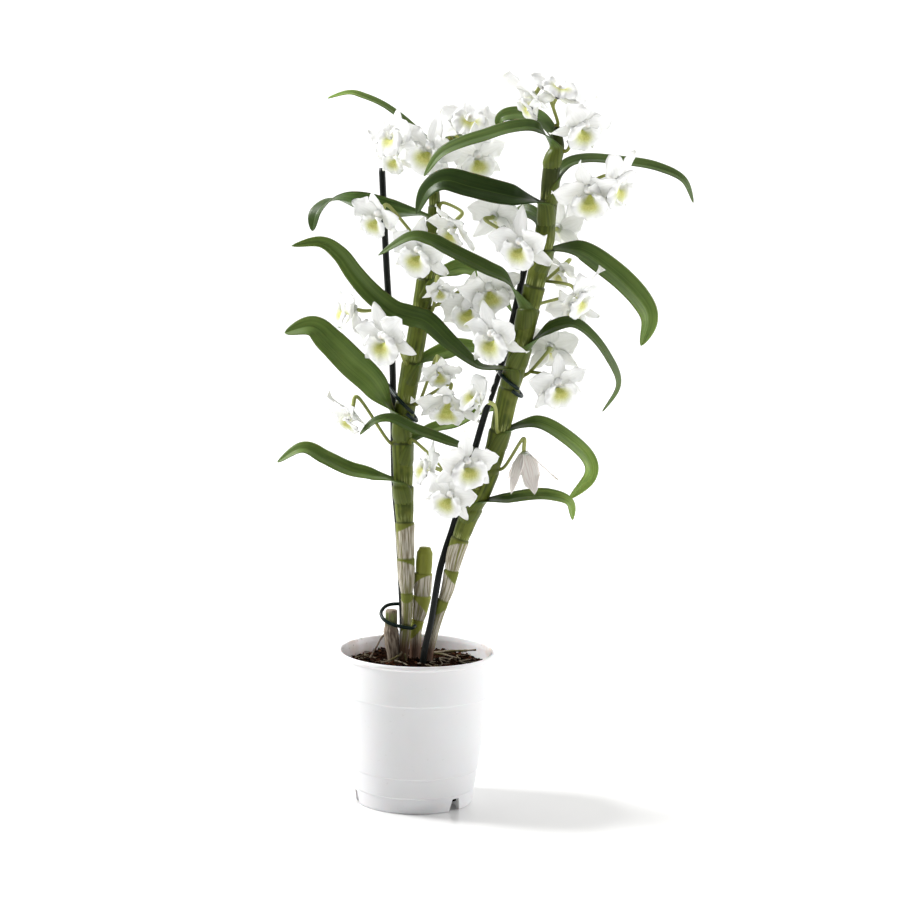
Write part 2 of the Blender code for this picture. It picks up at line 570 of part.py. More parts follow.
def pot_profile():
    """Half of the pot's section, from the middle of the floor's top round to the underside."""
    inner_rim = RIM_RADIUS - 2.0
    inner_foot = 44.6 - POT_WALL
    return ((0, FLOOR_TOP), (inner_foot - 1.5, FLOOR_TOP), (inner_foot, FLOOR_TOP + 1.5),
            (54.9, 86), (inner_rim - 1.0, POT_HEIGHT - 4), (inner_rim, POT_HEIGHT - 0.6),
            (inner_rim + 0.8, POT_HEIGHT), (RIM_RADIUS - 0.4, POT_HEIGHT), (RIM_RADIUS + 0.3, POT_HEIGHT - 1),
            (RIM_RADIUS + 0.3, POT_HEIGHT - 3.2), (RIM_RADIUS - 0.9, POT_HEIGHT - 4),
            (57.4, 87), (56.7, 86), (49.6, 28.4), (49.0, 27.6), (47.2, 12.8), (46.4, 12),
            (BASE_RADIUS, 0.8), (BASE_RADIUS - 0.8, 0), (BASE_RADIUS - 3, 0), (BASE_RADIUS - 4, 3.5),
            (17, 3.5), (16, 0), (0, 0))


def make_pot():
    """The pot: a turned shell with a rolled rim, shallow rings and three notches in its foot."""
    profile = [(r, 0.0, z) for r, z in pot_profile()]
    mesh = bpy.data.meshes.new("pot")
    edges = [(k, k + 1) for k in range(len(profile) - 1)]
    mesh.from_pydata([tuple(c * MM for c in p) for p in profile], edges, [])
    mesh.materials.append(WHITE_PLASTIC)
    pot = bpy.data.objects.new("pot", mesh)
    PART.objects.link(pot)
    turn = pot.modifiers.new("turn", "SCREW")
    turn.steps = 24
    turn.render_steps = 24
    turn.use_merge_vertices = True
    turn.merge_threshold = 1e-5
    for number, angle in enumerate(NOTCH_ANGLES):
        cutter_body = bmesh.new()
        bmesh.ops.create_cube(cutter_body, size=1.0)
        for vert in cutter_body.verts:
            high = vert.co.z > 0
            wide = NOTCH_TOP_WIDTH if high else NOTCH_FOOT_WIDTH
            vert.co = Vector((vert.co.x * wide, -45 + vert.co.y * 12, NOTCH_HEIGHT if high else -2)) * MM
        cutter_mesh = bpy.data.meshes.new(f"notch_{number}")
        cutter_body.to_mesh(cutter_mesh)
        cutter_body.free()
        cutter = bpy.data.objects.new(f"notch_{number}", cutter_mesh)
        CUTTERS.objects.link(cutter)
        cutter.rotation_euler.z = math.radians(angle)
        cutter.hide_render = True
        cutter.display_type = "WIRE"
        cut = pot.modifiers.new(f"notch_{number}", "BOOLEAN")
        cut.operation = "DIFFERENCE"
        cut.object = cutter
        cut.solver = "EXACT"
    return pot


def mix_top(x, y):
    """Height of the bark mix: a low mound with crossing waves for the lumps of bark."""
    r = np.hypot(x, y)
    lumps = 0.9 * np.sin(0.37 * x + 1.1) * np.cos(0.33 * y) + 0.6 * np.sin(0.21 * y - 0.29 * x)
    return MIX_HEIGHT + 2.0 * (1 - (r / 56) ** 2) + lumps


def make_mix():
    """The bark mix that fills the pot, with a plain hole for each stem and stake."""
    around, rings = 24, (18.0, 34.0, 46.0, 55.6)
    angles = np.linspace(0, 2 * np.pi, around, endpoint=False)
    points = [(0, 0, mix_top(0, 0))]
    for r in rings:
        x, y = r * np.cos(angles), r * np.sin(angles)
        points += list(zip(x, y, mix_top(x, y)))
    for r, z in ((42.5, FLOOR_TOP + 2.0), (41.0, FLOOR_TOP + GAP)):
        points += [(r * math.cos(a), r * math.sin(a), z) for a in angles]
    points.append((0, 0, FLOOR_TOP + GAP))
    faces = []
    ring_count = len(rings) + 2
    for j in range(around):
        k = (j + 1) % around
        faces.append((0, 1 + j, 1 + k))
        for i in range(ring_count - 1):
            a, b = 1 + i * around, 1 + (i + 1) * around
            faces += [(a + j, b + j, b + k), (a + j, b + k, a + k)]
        last = 1 + (ring_count - 1) * around
        faces.append((last + k, last + j, len(points) - 1))
    mix = mesh_object("potting_mix", points, faces, BARK)
    stems = (("hole_left", LEFT_CANE, LEFT_RADII), ("hole_right", RIGHT_CANE, RIGHT_RADII),
             ("hole_short", SHORT_CANE, SHORT_RADII), ("hole_stub", STUB, STUB_RADII),
             ("hole_stake_left", LEFT_STAKE, ((88, STAKE_RADIUS), (120, STAKE_RADIUS))),
             ("hole_stake_right", RIGHT_STAKE, ((88, STAKE_RADIUS), (120, STAKE_RADIUS))))
    for name, path, radii in stems:
        foot = path[0][2]
        heights = (foot - GAP, 100.0, 119.0)
        ends = [stem_at(path, radii, max(z, foot)) for z in heights]
        line = [np.array([*c[:2], z]) for (c, _), z in zip(ends, heights)]
        thick = [r * 1.03 + GAP + 0.4 for _, r in ends]
        hole = frozen(tube(name, line, thick, BARK, 3, CUTTERS), name, CUTTERS)
        hole.hide_render = True
        hole.display_type = "WIRE"
        cut = mix.modifiers.new(name, "BOOLEAN")
        cut.operation = "DIFFERENCE"
        cut.object = hole
        cut.solver = "EXACT"
    return mix


def make_stakes():
    """Two thin plastic stakes that the long canes are tied to."""
    tube("stake_left", smooth_path(LEFT_STAKE, 8), STAKE_RADIUS, STAKE_GREEN, 2)
    tube("stake_right", smooth_path(RIGHT_STAKE, 11), STAKE_RADIUS, STAKE_GREEN, 2)


def loop_round(cane, stake, height, slope, first, last, count):
    """A wire laid round a cane and its stake: the outline of both circles, swept by angle.

    For each angle the point is on the circle that reaches furthest that way. The height falls
    with x by the slope, and climbs over the turn so that the wire's ends pass. The circles are
    taken again at the point's own height, because both rods lean.
    """
    clearance = WIRE_RADIUS + GAP + 0.25
    points = []
    for angle in np.radians(np.linspace(first, last, count)):
        way = np.array([math.cos(angle), math.sin(angle)])
        climb = 3.4 * WIRE_RADIUS * (angle - math.radians(first)) / (2 * math.pi)
        z = height + climb
        for _ in range(3):
            centre, radius, _ = cane_at(cane, z)
            rod, _ = stem_at(stake, ((0, 1), (500, 1)), z)
            circles = ((centre, radius * 1.05 + clearance), (rod, STAKE_RADIUS * 1.05 + clearance))
            middle, reach = max(circles, key=lambda c: float(way @ c[0][:2]) + c[1])
            x, y = middle[:2] + way * reach
            z = height - slope * (x - cane_at(cane, height)[0][0]) + climb
        points.append((x, y, z))
    return points


def make_ties():
    """Plastic-coated wire ties: one round the foot, one holding each long cane to its stake."""
    ties = (("tie_left", "left", LEFT_STAKE, 305.0, 1.0), ("tie_right", "right", RIGHT_STAKE, 328.0, 0.85))
    for name, cane, stake, height, slope in ties:
        tube(name, loop_round(cane, stake, height, slope, -80, 310, 17), WIRE_RADIUS, WIRE_GREEN, 1)
    foot = ((-8, 17, 150.5), (-16, 16.7, 151.5), (-24, 11, 151), (-28, 4, 147), (-25.5, -3.2, 143),
            (-19, -5.8, 140), (-9.5, -5.4, 137.8), (-4, -4.7, 137.2), (-1.4, -1.2, 138.4))
    tube("tie_base", smooth_path(foot, 16), WIRE_RADIUS, WIRE_GREEN, 1)


def smooth_shading():
    """Round pieces are shaded smooth, with edges over 40 degrees kept sharp."""
    for thing in PART.objects:
        if thing.type == "MESH":
            thing.data.shade_smooth()
            thing.data.set_sharp_from_angle(angle=math.radians(40))


make_pot()
make_mix()
make_stakes()
make_ties()
make_canes()
for leaf_name, leaf in LEAVES.items():
    make_leaf(leaf_name, *leaf)
make_blooms()
smooth_shading()
bpy.data.collections.remove(WORK)
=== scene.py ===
# %% [markdown]
# # A dendrobium orchid in flower, dressed for its portrait
# The frame holds the plant as plain faceted solids: a pot of bark, canes, stakes, ties, leaves and
# blooms, each at its real size. This notebook keeps every one of them where it is and gives it the
# surface of the real thing. Each shape is a formula on a grid of points, so one idea, a closed ring
# carried along a path, makes canes, stalks, leaves and petals alike.

# %% Load the frame
import math

import bpy
import numpy as np
from mathutils import Matrix, Vector


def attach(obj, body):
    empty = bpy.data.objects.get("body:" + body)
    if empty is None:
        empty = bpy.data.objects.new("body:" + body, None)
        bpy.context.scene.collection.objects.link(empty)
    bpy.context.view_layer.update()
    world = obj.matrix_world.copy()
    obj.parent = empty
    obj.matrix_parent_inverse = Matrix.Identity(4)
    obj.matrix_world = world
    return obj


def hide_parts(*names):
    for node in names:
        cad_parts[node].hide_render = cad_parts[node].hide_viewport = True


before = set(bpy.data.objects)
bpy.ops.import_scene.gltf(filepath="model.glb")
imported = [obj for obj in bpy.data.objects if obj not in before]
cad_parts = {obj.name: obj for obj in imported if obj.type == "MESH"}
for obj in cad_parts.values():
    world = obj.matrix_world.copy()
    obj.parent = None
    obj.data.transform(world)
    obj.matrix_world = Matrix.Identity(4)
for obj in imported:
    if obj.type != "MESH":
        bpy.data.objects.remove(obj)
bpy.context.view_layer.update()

MM = 0.001
print("nodes in the frame:", len(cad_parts))

# %% [markdown]
# ## Small tools for shapes
# A path is a smooth curve through a few given points. The Catmull-Rom curve suits
# stems: it passes through each point, so a stalk still meets the cane where it should.

# %% Paths and blends


def unit(vectors):
    """Each vector at length one. A vector of no length stays as it is."""
    vectors = np.asarray(vectors, float)
    return vectors / np.maximum(np.linalg.norm(vectors, axis=-1, keepdims=True), 1e-9)


def smooth_path(points, count):
    """Points read evenly from the Catmull-Rom curve that passes through the given ones."""
    known = np.asarray(points, float)
    padded = np.vstack([2 * known[0] - known[1], known, 2 * known[-1] - known[-2]])
    along = np.linspace(0, len(known) - 1, count)
    start = np.minimum(along.astype(int), len(known) - 2)
    f = (along - start)[:, None]
    a, b, c, d = (padded[start + k] for k in range(4))
    square, cube = 2 * a - 5 * b + 4 * c - d, 3 * b - a - 3 * c + d
    return 0.5 * (2 * b + (c - a) * f + square * f**2 + cube * f**3)


def ease(x, low, high):
    """0 below low, 1 above high, and a smooth S between them."""
    t = np.clip((np.asarray(x, float) - low) / (high - low), 0, 1)
    return t * t * (3 - 2 * t)


def ring_angles(count):
    """Angles spread evenly round a ring, from 0, as one row."""
    return np.linspace(0, 2 * np.pi, count, endpoint=False)[None, :]


def at_heights(line, heights):
    """The points of a rising line at the given heights."""
    return np.stack([np.interp(heights, line[:, 2], line[:, k]) for k in range(3)], axis=-1)


def side_directions(path):
    """Two directions square to a path and to each other, which turn as little as they can along it."""
    run = unit(np.gradient(path, axis=0))
    side = [unit(np.cross(run[0], np.eye(3)[np.argmin(abs(run[0]))]))]
    for step in run[1:]:
        side.append(unit(side[-1] - step * (side[-1] @ step)))
    side = np.array(side)
    return side, np.cross(run, side)


def tube(path, radii, around):
    """Rings round a path: centre plus radius times (side cos angle + up sin angle)."""
    side, up = side_directions(path)
    angle = ring_angles(around)[..., None]
    radii = np.asarray(radii, float)
    radii = radii[:, None, None] if radii.ndim == 1 else radii[:, :, None]
    return path[:, None] + radii * (side[:, None] * np.cos(angle) + up[:, None] * np.sin(angle))


def lens(sheet, thickness):
    """A thin solid round a sheet: both faces lie off it along its normal, and meet at its sides.

    The distance is half the thickness times the fourth root of 1 - v to the fourth, where v runs from
    -1 to 1 across, so the blade is even in the middle and rounds off at its edges.
    """
    normal = unit(np.cross(np.gradient(sheet, axis=0), np.gradient(sheet, axis=1)))
    normal[0], normal[-1] = normal[1], normal[-2]
    v = np.linspace(-1, 1, sheet.shape[1])[None, :, None]
    half = 0.5 * thickness * (1 - v**4) ** 0.25
    return both_faces(sheet + normal * half, sheet - normal * half)


def both_faces(upper, lower):
    """Values on a blade's upper face and, back again, on its lower one, as one closed ring."""
    return np.concatenate([upper, lower[:, -2:0:-1]], axis=1)


bend = smooth_path(((0, 0, 0), (0, 0, 1), (1, 0, 2), (3, 0, 2)), 7)
print("half way along a bend of four points:", bend[3])

# %% [markdown]
# ## From rings to a mesh
# A skin is a grid of points whose rows are closed rings. Neighbouring rings are joined by four-sided
# faces, and each end is closed by one face, so every skin is a closed body. Marks are numbers on the
# points, such as how yellow a petal is there, and the materials read them by name.

# %% Build a piece from skins


def grid_faces(rows, around):
    """Corner numbers of a skin: four-sided faces between its rings, and both ends closed.

    An end is closed in strips from one side of its ring to the other, so a flat blade's end is a
    narrow seam and a round one is a disc.
    """
    i, j = np.meshgrid(np.arange(rows - 1), np.arange(around), indexing="ij")
    k = (j + 1) % around
    quads = np.stack([i * around + j, i * around + k, (i + 1) * around + k, (i + 1) * around + j], -1)
    near = np.arange(1, around // 2 - 1)
    strip = np.stack([near, near + 1, around - near - 1, around - near], -1)
    tips = np.array([[0, 1, around - 1], [around // 2 - 1, around // 2, around // 2 + 1]])
    last = (rows - 1) * around
    quads = np.concatenate([quads.reshape(-1, 4), strip[:, ::-1], strip + last])
    return quads, np.concatenate([tips[:, ::-1], tips + last])


def skin(rings, **marks):
    """Rings with named marks, each a number or one value a point, turned so that the faces point out.

    The sum of p . (q x r) over the triangles is six times the volume inside. If it is negative, the
    rings run the wrong way, and all of them are reversed.
    """
    marks = {name: np.broadcast_to(np.asarray(m, float), rings.shape[:2]) for name, m in marks.items()}
    quads, triangles = grid_faces(*rings.shape[:2])
    triangles = np.concatenate([triangles, quads[:, :3], quads[:, [0, 2, 3]]])
    points = rings.reshape(-1, 3) - rings.reshape(-1, 3).mean(0)
    p, q, r = (points[triangles[:, c]] for c in range(3))
    if (p * np.cross(q, r)).sum() < 0:
        return rings[:, ::-1], {name: m[:, ::-1] for name, m in marks.items()}
    return rings, marks


def skin_layout(rings, first):
    """A skin's corners, face sizes and UVs: u runs round the ring and v along the path."""
    rows, around = rings.shape[:2]
    quads, triangles = grid_faces(rows, around)
    corners = np.concatenate([quads.ravel(), triangles.ravel()])
    u, v = (corners % around) / around, (corners // around) / (rows - 1)
    sides = u[:4 * (rows - 1) * around].reshape(-1, 4)
    sides[:, 1:3] += sides[:, 1:3] == 0
    sizes = np.concatenate([np.full(len(quads), 4), np.full(len(triangles), 3)])
    return corners + first, sizes, np.stack([u, v], -1)


def make_mesh(name, skins):
    """One mesh object from skins in millimetres, with a UV map and every mark as an attribute."""
    layouts, first = [], 0
    for rings, _ in skins:
        layouts.append(skin_layout(rings, first))
        first += rings.shape[0] * rings.shape[1]
    corners, sizes, uv = (np.concatenate(column) for column in zip(*layouts))
    points = np.concatenate([rings.reshape(-1, 3) for rings, _ in skins])
    mesh = bpy.data.meshes.new(name)
    mesh.vertices.add(len(points))
    mesh.vertices.foreach_set("co", (points * MM).astype(np.float32).ravel())
    mesh.loops.add(len(corners))
    mesh.loops.foreach_set("vertex_index", corners.astype(np.int32))
    mesh.polygons.add(len(sizes))
    starts = np.concatenate([[0], np.cumsum(sizes)[:-1]])
    mesh.polygons.foreach_set("loop_start", starts.astype(np.int32))
    mesh.update(calc_edges=True)
    mesh.uv_layers.new(name="UVMap").uv.foreach_set("vector", uv.astype(np.float32).ravel())
    for mark in sorted({mark for _, marks in skins for mark in marks}):
        values = [marks.get(mark, np.zeros(rings.shape[:2])).ravel() for rings, marks in skins]
        layer = mesh.attributes.new(mark, "FLOAT", "POINT")
        layer.data.foreach_set("value", np.concatenate(values).astype(np.float32))
    mesh.validate()
    mesh.shade_smooth()
    thing = bpy.data.objects.new(name, mesh)
    bpy.context.scene.collection.objects.link(thing)
    return thing


def make_piece(name, skins, material, slot, *nodes, sharp=None):
    """One piece from skins, riding on the part and standing for the CAD nodes that it replaces."""
    thing = make_mesh(name, skins)
    if sharp is not None:
        thing.data.set_sharp_from_angle(angle=math.radians(sharp))
    settle(thing, material, slot, *nodes)


def settle(thing, material, slot, *nodes):
    """Give a piece its finish, let it ride on the part, and hide the nodes that it stands for."""
    thing.data.materials.clear()
    thing.data.materials.append(material)
    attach(thing, "root")
    if nodes:
        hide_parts(*nodes)


# %% [markdown]
# ## A short way to write materials
# Every finish is one Principled shader. A value that is the same all over is set on the shader itself.
# Only what changes over the surface, such as colour, roughness and bump, comes from nodes.

# %% Material helpers


class Finish:
    """A material under construction: its tree, its shader, and short calls that add nodes."""

    def __init__(self, name, **values):
        self.material = bpy.data.materials.new(name)
        self.material.use_nodes = True
        self.tree = self.material.node_tree
        self.shader = self.tree.nodes["Principled BSDF"]
        for socket, value in values.items():
            self.shader.inputs[socket.replace("_", " ")].default_value = value

    def add(self, kind, settings=None, **inputs):
        """A node with its settings. An input is a value, or another node's output to link."""
        node = self.tree.nodes.new(kind)
        for key, value in (settings or {}).items():
            setattr(node, key, value)
        for socket, value in inputs.items():
            key = int(socket[1:]) if socket[1:].isdigit() else socket.replace("_", " ")
            self.put(node.inputs[key], value)
        return node

    def put(self, socket, value):
        """Set a socket to a value, or link it."""
        if isinstance(value, bpy.types.NodeSocket):
            self.tree.links.new(value, socket)
        else:
            socket.default_value = value

    def mark(self, name):
        """A number that the mesh carries on its points."""
        return self.add("ShaderNodeAttribute", {"attribute_name": name}).outputs["Fac"]

    def place(self):
        """The point's place in the object, in metres."""
        return self.add("ShaderNodeTexCoord").outputs["Object"]

    def uv(self):
        """The piece's own UV map: round the ring, and along the path."""
        return self.add("ShaderNodeTexCoord").outputs["UV"]

    def sums(self, operation, a, b=0.0):
        """One arithmetic step on two numbers."""
        return self.add("ShaderNodeMath", {"operation": operation}, _0=a, _1=b).outputs[0]

    def times(self, a, b):
        """The product of two numbers."""
        return self.sums("MULTIPLY", a, b)

    def parts(self, where):
        """The three numbers of a place."""
        return self.add("ShaderNodeSeparateXYZ", Vector=where).outputs

    def triple(self, x, y, z):
        """Three numbers as one place."""
        return self.add("ShaderNodeCombineXYZ", X=x, Y=y, Z=z).outputs[0]

    def noise(self, where, scale, detail=3.0):
        """Soft noise from 0 to 1."""
        return self.add("ShaderNodeTexNoise", Vector=where, Scale=scale, Detail=detail).outputs["Fac"]

    def grain(self, across, along, fine, slow, seed=0.0, detail=3.0):
        """Noise drawn out along a piece: it changes quickly across it and slowly along it."""
        where = self.triple(self.times(across, fine), self.times(along, slow), seed)
        return self.noise(where, 1.0, detail)

    def steps(self, value, low, high):
        """A number spread from 0 at low to 1 at high, with a smooth start and end."""
        node = self.add("ShaderNodeMapRange", {"interpolation_type": "SMOOTHSTEP"}, Value=value)
        node.inputs["From Min"].default_value = low
        node.inputs["From Max"].default_value = high
        return node.outputs["Result"]

    def mix(self, factor, first, second):
        """A colour between two, by a factor from 0 to 1."""
        node = self.add("ShaderNodeMix", {"data_type": "RGBA"})
        self.put(node.inputs["Factor"], factor)
        for socket, colour in ((node.inputs[6], first), (node.inputs[7], second)):
            self.put(socket, colour if isinstance(colour, bpy.types.NodeSocket) else (*colour, 1.0))
        return node.outputs[2]

    def bump(self, height, strength, distance):
        """Fine relief from a height, in metres."""
        node = self.add("ShaderNodeBump", Height=height, Strength=strength, Distance=distance)
        self.put(self.shader.inputs["Normal"], node.outputs[0])

    def colour(self, value):
        """Give the shader its colour."""
        self.put(self.shader.inputs["Base Color"], value)


# %% [markdown]
# ## The canes' own lines
# A dendrobium cane is a jointed stem. Each length is slim just above a joint and widest just below the
# next one. These are the same lines and sizes that the solids were made from, in millimetres.

# %% Cane lines and radii
CANE_LINES = {
    "left": ((-10, 0, 88), (-10, 0, 116), (-8, 2, 146), (-9, 3, 176), (-11, 5, 217), (-13, 7, 255),
             (-14, 9, 285), (-11, 11, 320), (-5, 13, 359), (2, 16, 407), (6, 17, 433), (7, 19, 460),
             (6, 20, 483), (10, 21, 496), (18, 22, 511)),
    "right": ((8, -4, 88), (10, -4, 118), (16, -6, 148), (23, -7, 169), (29, -9, 199), (39, -11, 229),
              (49, -12, 251), (57, -14, 279), (65, -17, 319), (71, -18, 344), (79, -21, 383),
              (85, -23, 412), (90, -24, 437), (94, -28, 495), (98, -29, 512), (97, -30, 526)),
    "short": ((-2, 8, 88), (-1, 8, 120), (-1, 8, 132), (1, 8, 143), (3, 9, 155), (4, 9, 175),
              (5, 9, 198)),
}
CANE_RADII = {
    "left": ((88, 3.4), (118, 3.5), (150, 4.0), (162, 4.5), (176, 6.3), (218, 7.0), (255, 7.7),
             (340, 7.5), (400, 7.2), (432, 6.0), (463, 4.6), (485, 3.4), (511, 2.2)),
    "right": ((88, 3.0), (120, 3.1), (140, 3.8), (160, 4.4), (184, 5.6), (200, 6.7), (240, 7.5),
              (300, 7.9), (400, 7.9), (433, 7.2), (470, 6.6), (500, 6.4), (513, 4.8), (526, 2.8)),
    "short": ((88, 4.0), (138, 4.4), (146, 5.6), (158, 6.8), (175, 6.8), (198, 6.0)),
}
CANE_JOINTS = {
    "left": (138, 163, 190, 218, 246, 279, 310, 341, 381, 405, 431, 461, 485),
    "right": (160, 184, 209, 232, 264, 294, 327, 358, 389, 406, 434, 471, 508),
    "short": (141, 160, 178),
}
# How many lengths from the foot still wear a dry sheath, how many mm its top slants, and how dark
# the cane's own top is
SHEATHED = {"left": 3, "right": 2, "short": 2}
SLANT = {"left": 6.0, "right": 9.0, "short": 12.0}
DARK_TOP = {"left": 0.3, "right": 0.85, "short": 0.0}
SHEATH_THICKNESS = 0.25
# The small gap that the solids keep from one another
GAP = 0.3


def cane_centre(cane, heights):
    """The cane's middle at the given heights."""
    return at_heights(smooth_path(CANE_LINES[cane], 600), heights)


def between_joints(cane, heights):
    """How far each height is from the joint below it to the one above, from 0 to 1."""
    line = CANE_LINES[cane]
    edges = np.array([line[0][2] - 1, *CANE_JOINTS[cane], line[-1][2] + 1], float)
    below = np.clip(np.searchsorted(edges, heights, side="right") - 1, 0, len(edges) - 2)
    return (heights - edges[below]) / (edges[below + 1] - edges[below])


def cane_radius(cane, heights):
    """The radius: 0.93 of its size above a joint and 1.05 below the next, with a groove at the joint."""
    t = between_joints(cane, heights)
    size = np.interp(heights, *np.transpose(CANE_RADII[cane]))
    joints = np.array(CANE_JOINTS[cane], float)
    away = abs(np.asarray(heights, float)[..., None] - joints).min(-1)
    groove = 0.035 * np.exp(-((away / 0.7) ** 2))
    shape = 0.93 + 0.07 * ease(t, 0, 0.4) + 0.05 * ease(t, 0.6, 0.97) - groove
    tip = CANE_LINES[cane][-1][2]
    return size * shape * (1 - 0.3 * ease(heights, tip - 5, tip))


print("left cane is", round(2 * float(cane_radius("left", 300.0)), 1), "mm thick half way up")

# %% [markdown]
# ## Cane finish
# The living cane is olive green with fine lengthwise ribs, darker rings at the joints and a comb of
# short pale streaks above each ring. Low down, dry silver sheaths with green-brown stripes wrap it and
# end in slanting edges. The marks say where each of these is, and stretched noise draws the fibres.

# %% Cane material


def cane_finish():
    """Olive green with fibres, dark joints, pale combs and papery sheaths."""
    f = Finish("cane_skin", Roughness=0.5, Specular_IOR_Level=0.16)
    across, up = f.parts(f.uv())[0], f.parts(f.place())[2]
    fibre = f.grain(across, up, 20.0, 11.0, 0.0, 2.0)
    streak = f.grain(across, up, 62.0, 50.0, 4.0)
    blotch = f.noise(f.place(), 70.0)
    green = f.mix(f.steps(fibre, 0.34, 0.66), (0.050, 0.068, 0.008), (0.112, 0.142, 0.018))
    green = f.mix(f.times(f.steps(blotch, 0.42, 0.7), 0.6), green, (0.165, 0.185, 0.032))
    green = f.mix(f.mark("deep"), green, (0.020, 0.030, 0.005))
    green = f.mix(f.times(f.mark("comb"), f.steps(streak, 0.50, 0.60)), green, (0.27, 0.30, 0.10))
    green = f.mix(f.mark("ring"), green, (0.040, 0.050, 0.011))
    paper = f.mix(f.steps(streak, 0.40, 0.60), (0.20, 0.17, 0.10), (0.62, 0.58, 0.49))
    paper = f.mix(f.steps(fibre, 0.52, 0.62), paper, (0.19, 0.19, 0.06))
    colour = f.mix(f.mark("fresh"), green, (0.26, 0.28, 0.045))
    colour = f.mix(f.mark("pale"), colour, (0.42, 0.45, 0.17))
    colour = f.mix(f.mark("sheath"), colour, paper)
    f.colour(f.mix(f.mark("rust"), colour, (0.085, 0.028, 0.015)))
    f.bump(f.sums("ADD", fibre, f.times(streak, 0.3)), 0.6, 0.0004)
    return f.material


CANE_SKIN = cane_finish()

# %% [markdown]
# ## Canes
# The ribs are real relief: two low waves round each ring. Sheaths stand a quarter of a millimetre
# proud. Their upper edges slant, because a sheath is a leaf base that split on one side as it dried.

# %% Cane skin


def cane_skin(cane, rows, around):
    """Rings up a cane, with two waves round it for its low ribs, and the marks of its finish."""
    line = CANE_LINES[cane]
    heights = np.linspace(line[0][2], line[-1][2], rows)
    angle = ring_angles(around)
    t = between_joints(cane, heights)[:, None] + 0 * angle
    number = np.searchsorted(CANE_JOINTS[cane], heights)[:, None]
    slant = 0.5 + 0.5 * np.cos(angle - 2.4 * number - 0.6)
    edges = np.array([line[0][2], *CANE_JOINTS[cane], line[-1][2]], float)
    span = np.diff(edges)[np.minimum(number, len(edges) - 2)]
    low = (number <= SHEATHED[cane]).astype(float)
    cut = 0.97 - SLANT[cane] * slant / span
    sheath = low * ease(t, cut, cut - 0.9 / span) * ease(t, 0.01, 0.04)
    radius = cane_radius(cane, heights)[:, None]
    ribs = 0.011 * np.cos(13 * angle + 0.5 * np.sin(3 * t + number))
    ribs = ribs + 0.007 * np.cos(22 * angle + 0.8 * t)
    radius = radius * (1 + ribs * (1 - 0.4 * low)) + SHEATH_THICKNESS * sheath
    rings = tube(cane_centre(cane, heights), radius, around)
    joints = np.array(CANE_JOINTS[cane], float)
    away = abs(heights[:, None] - joints).min(1)[:, None]
    comb = ease(t, 0.01, 0.06) * ease(t, 0.30, 0.12) * (1 - low)
    ring = np.exp(-((away / 0.9) ** 2)) * (1 - 0.7 * sheath)
    deep = DARK_TOP[cane] * ease(heights, line[-1][2] - 100, line[-1][2] - 30)[:, None]
    fresh = (0.8 if cane == "short" else 0.35 * low) + 0 * t
    rust = ease(heights, 134, 118)[:, None] * 0.85 + 0.5 * ease(t, 0.02, 0.0) * low * (cane == "short")
    return skin(rings, sheath=sheath, comb=comb, ring=ring, deep=deep, fresh=fresh, rust=rust)


print("rings and points round a short cane:", cane_skin("short", 200, 56)[0].shape[:2])

# %% [markdown]
# ## Where the blooms stand
# A stalk ends where its bloom starts, so the blooms' places come before the stalks. Each bloom has a
# kind, a size, a middle in millimetres, the way that it faces, and a lean of its top sepal.

# %% Places of the blooms
STALK_RADIUS = 1.4
STALK_STRAIGHT = 9.0
RECEPTACLE_DEPTH = 2.5
PETAL_THICKNESS = 0.7

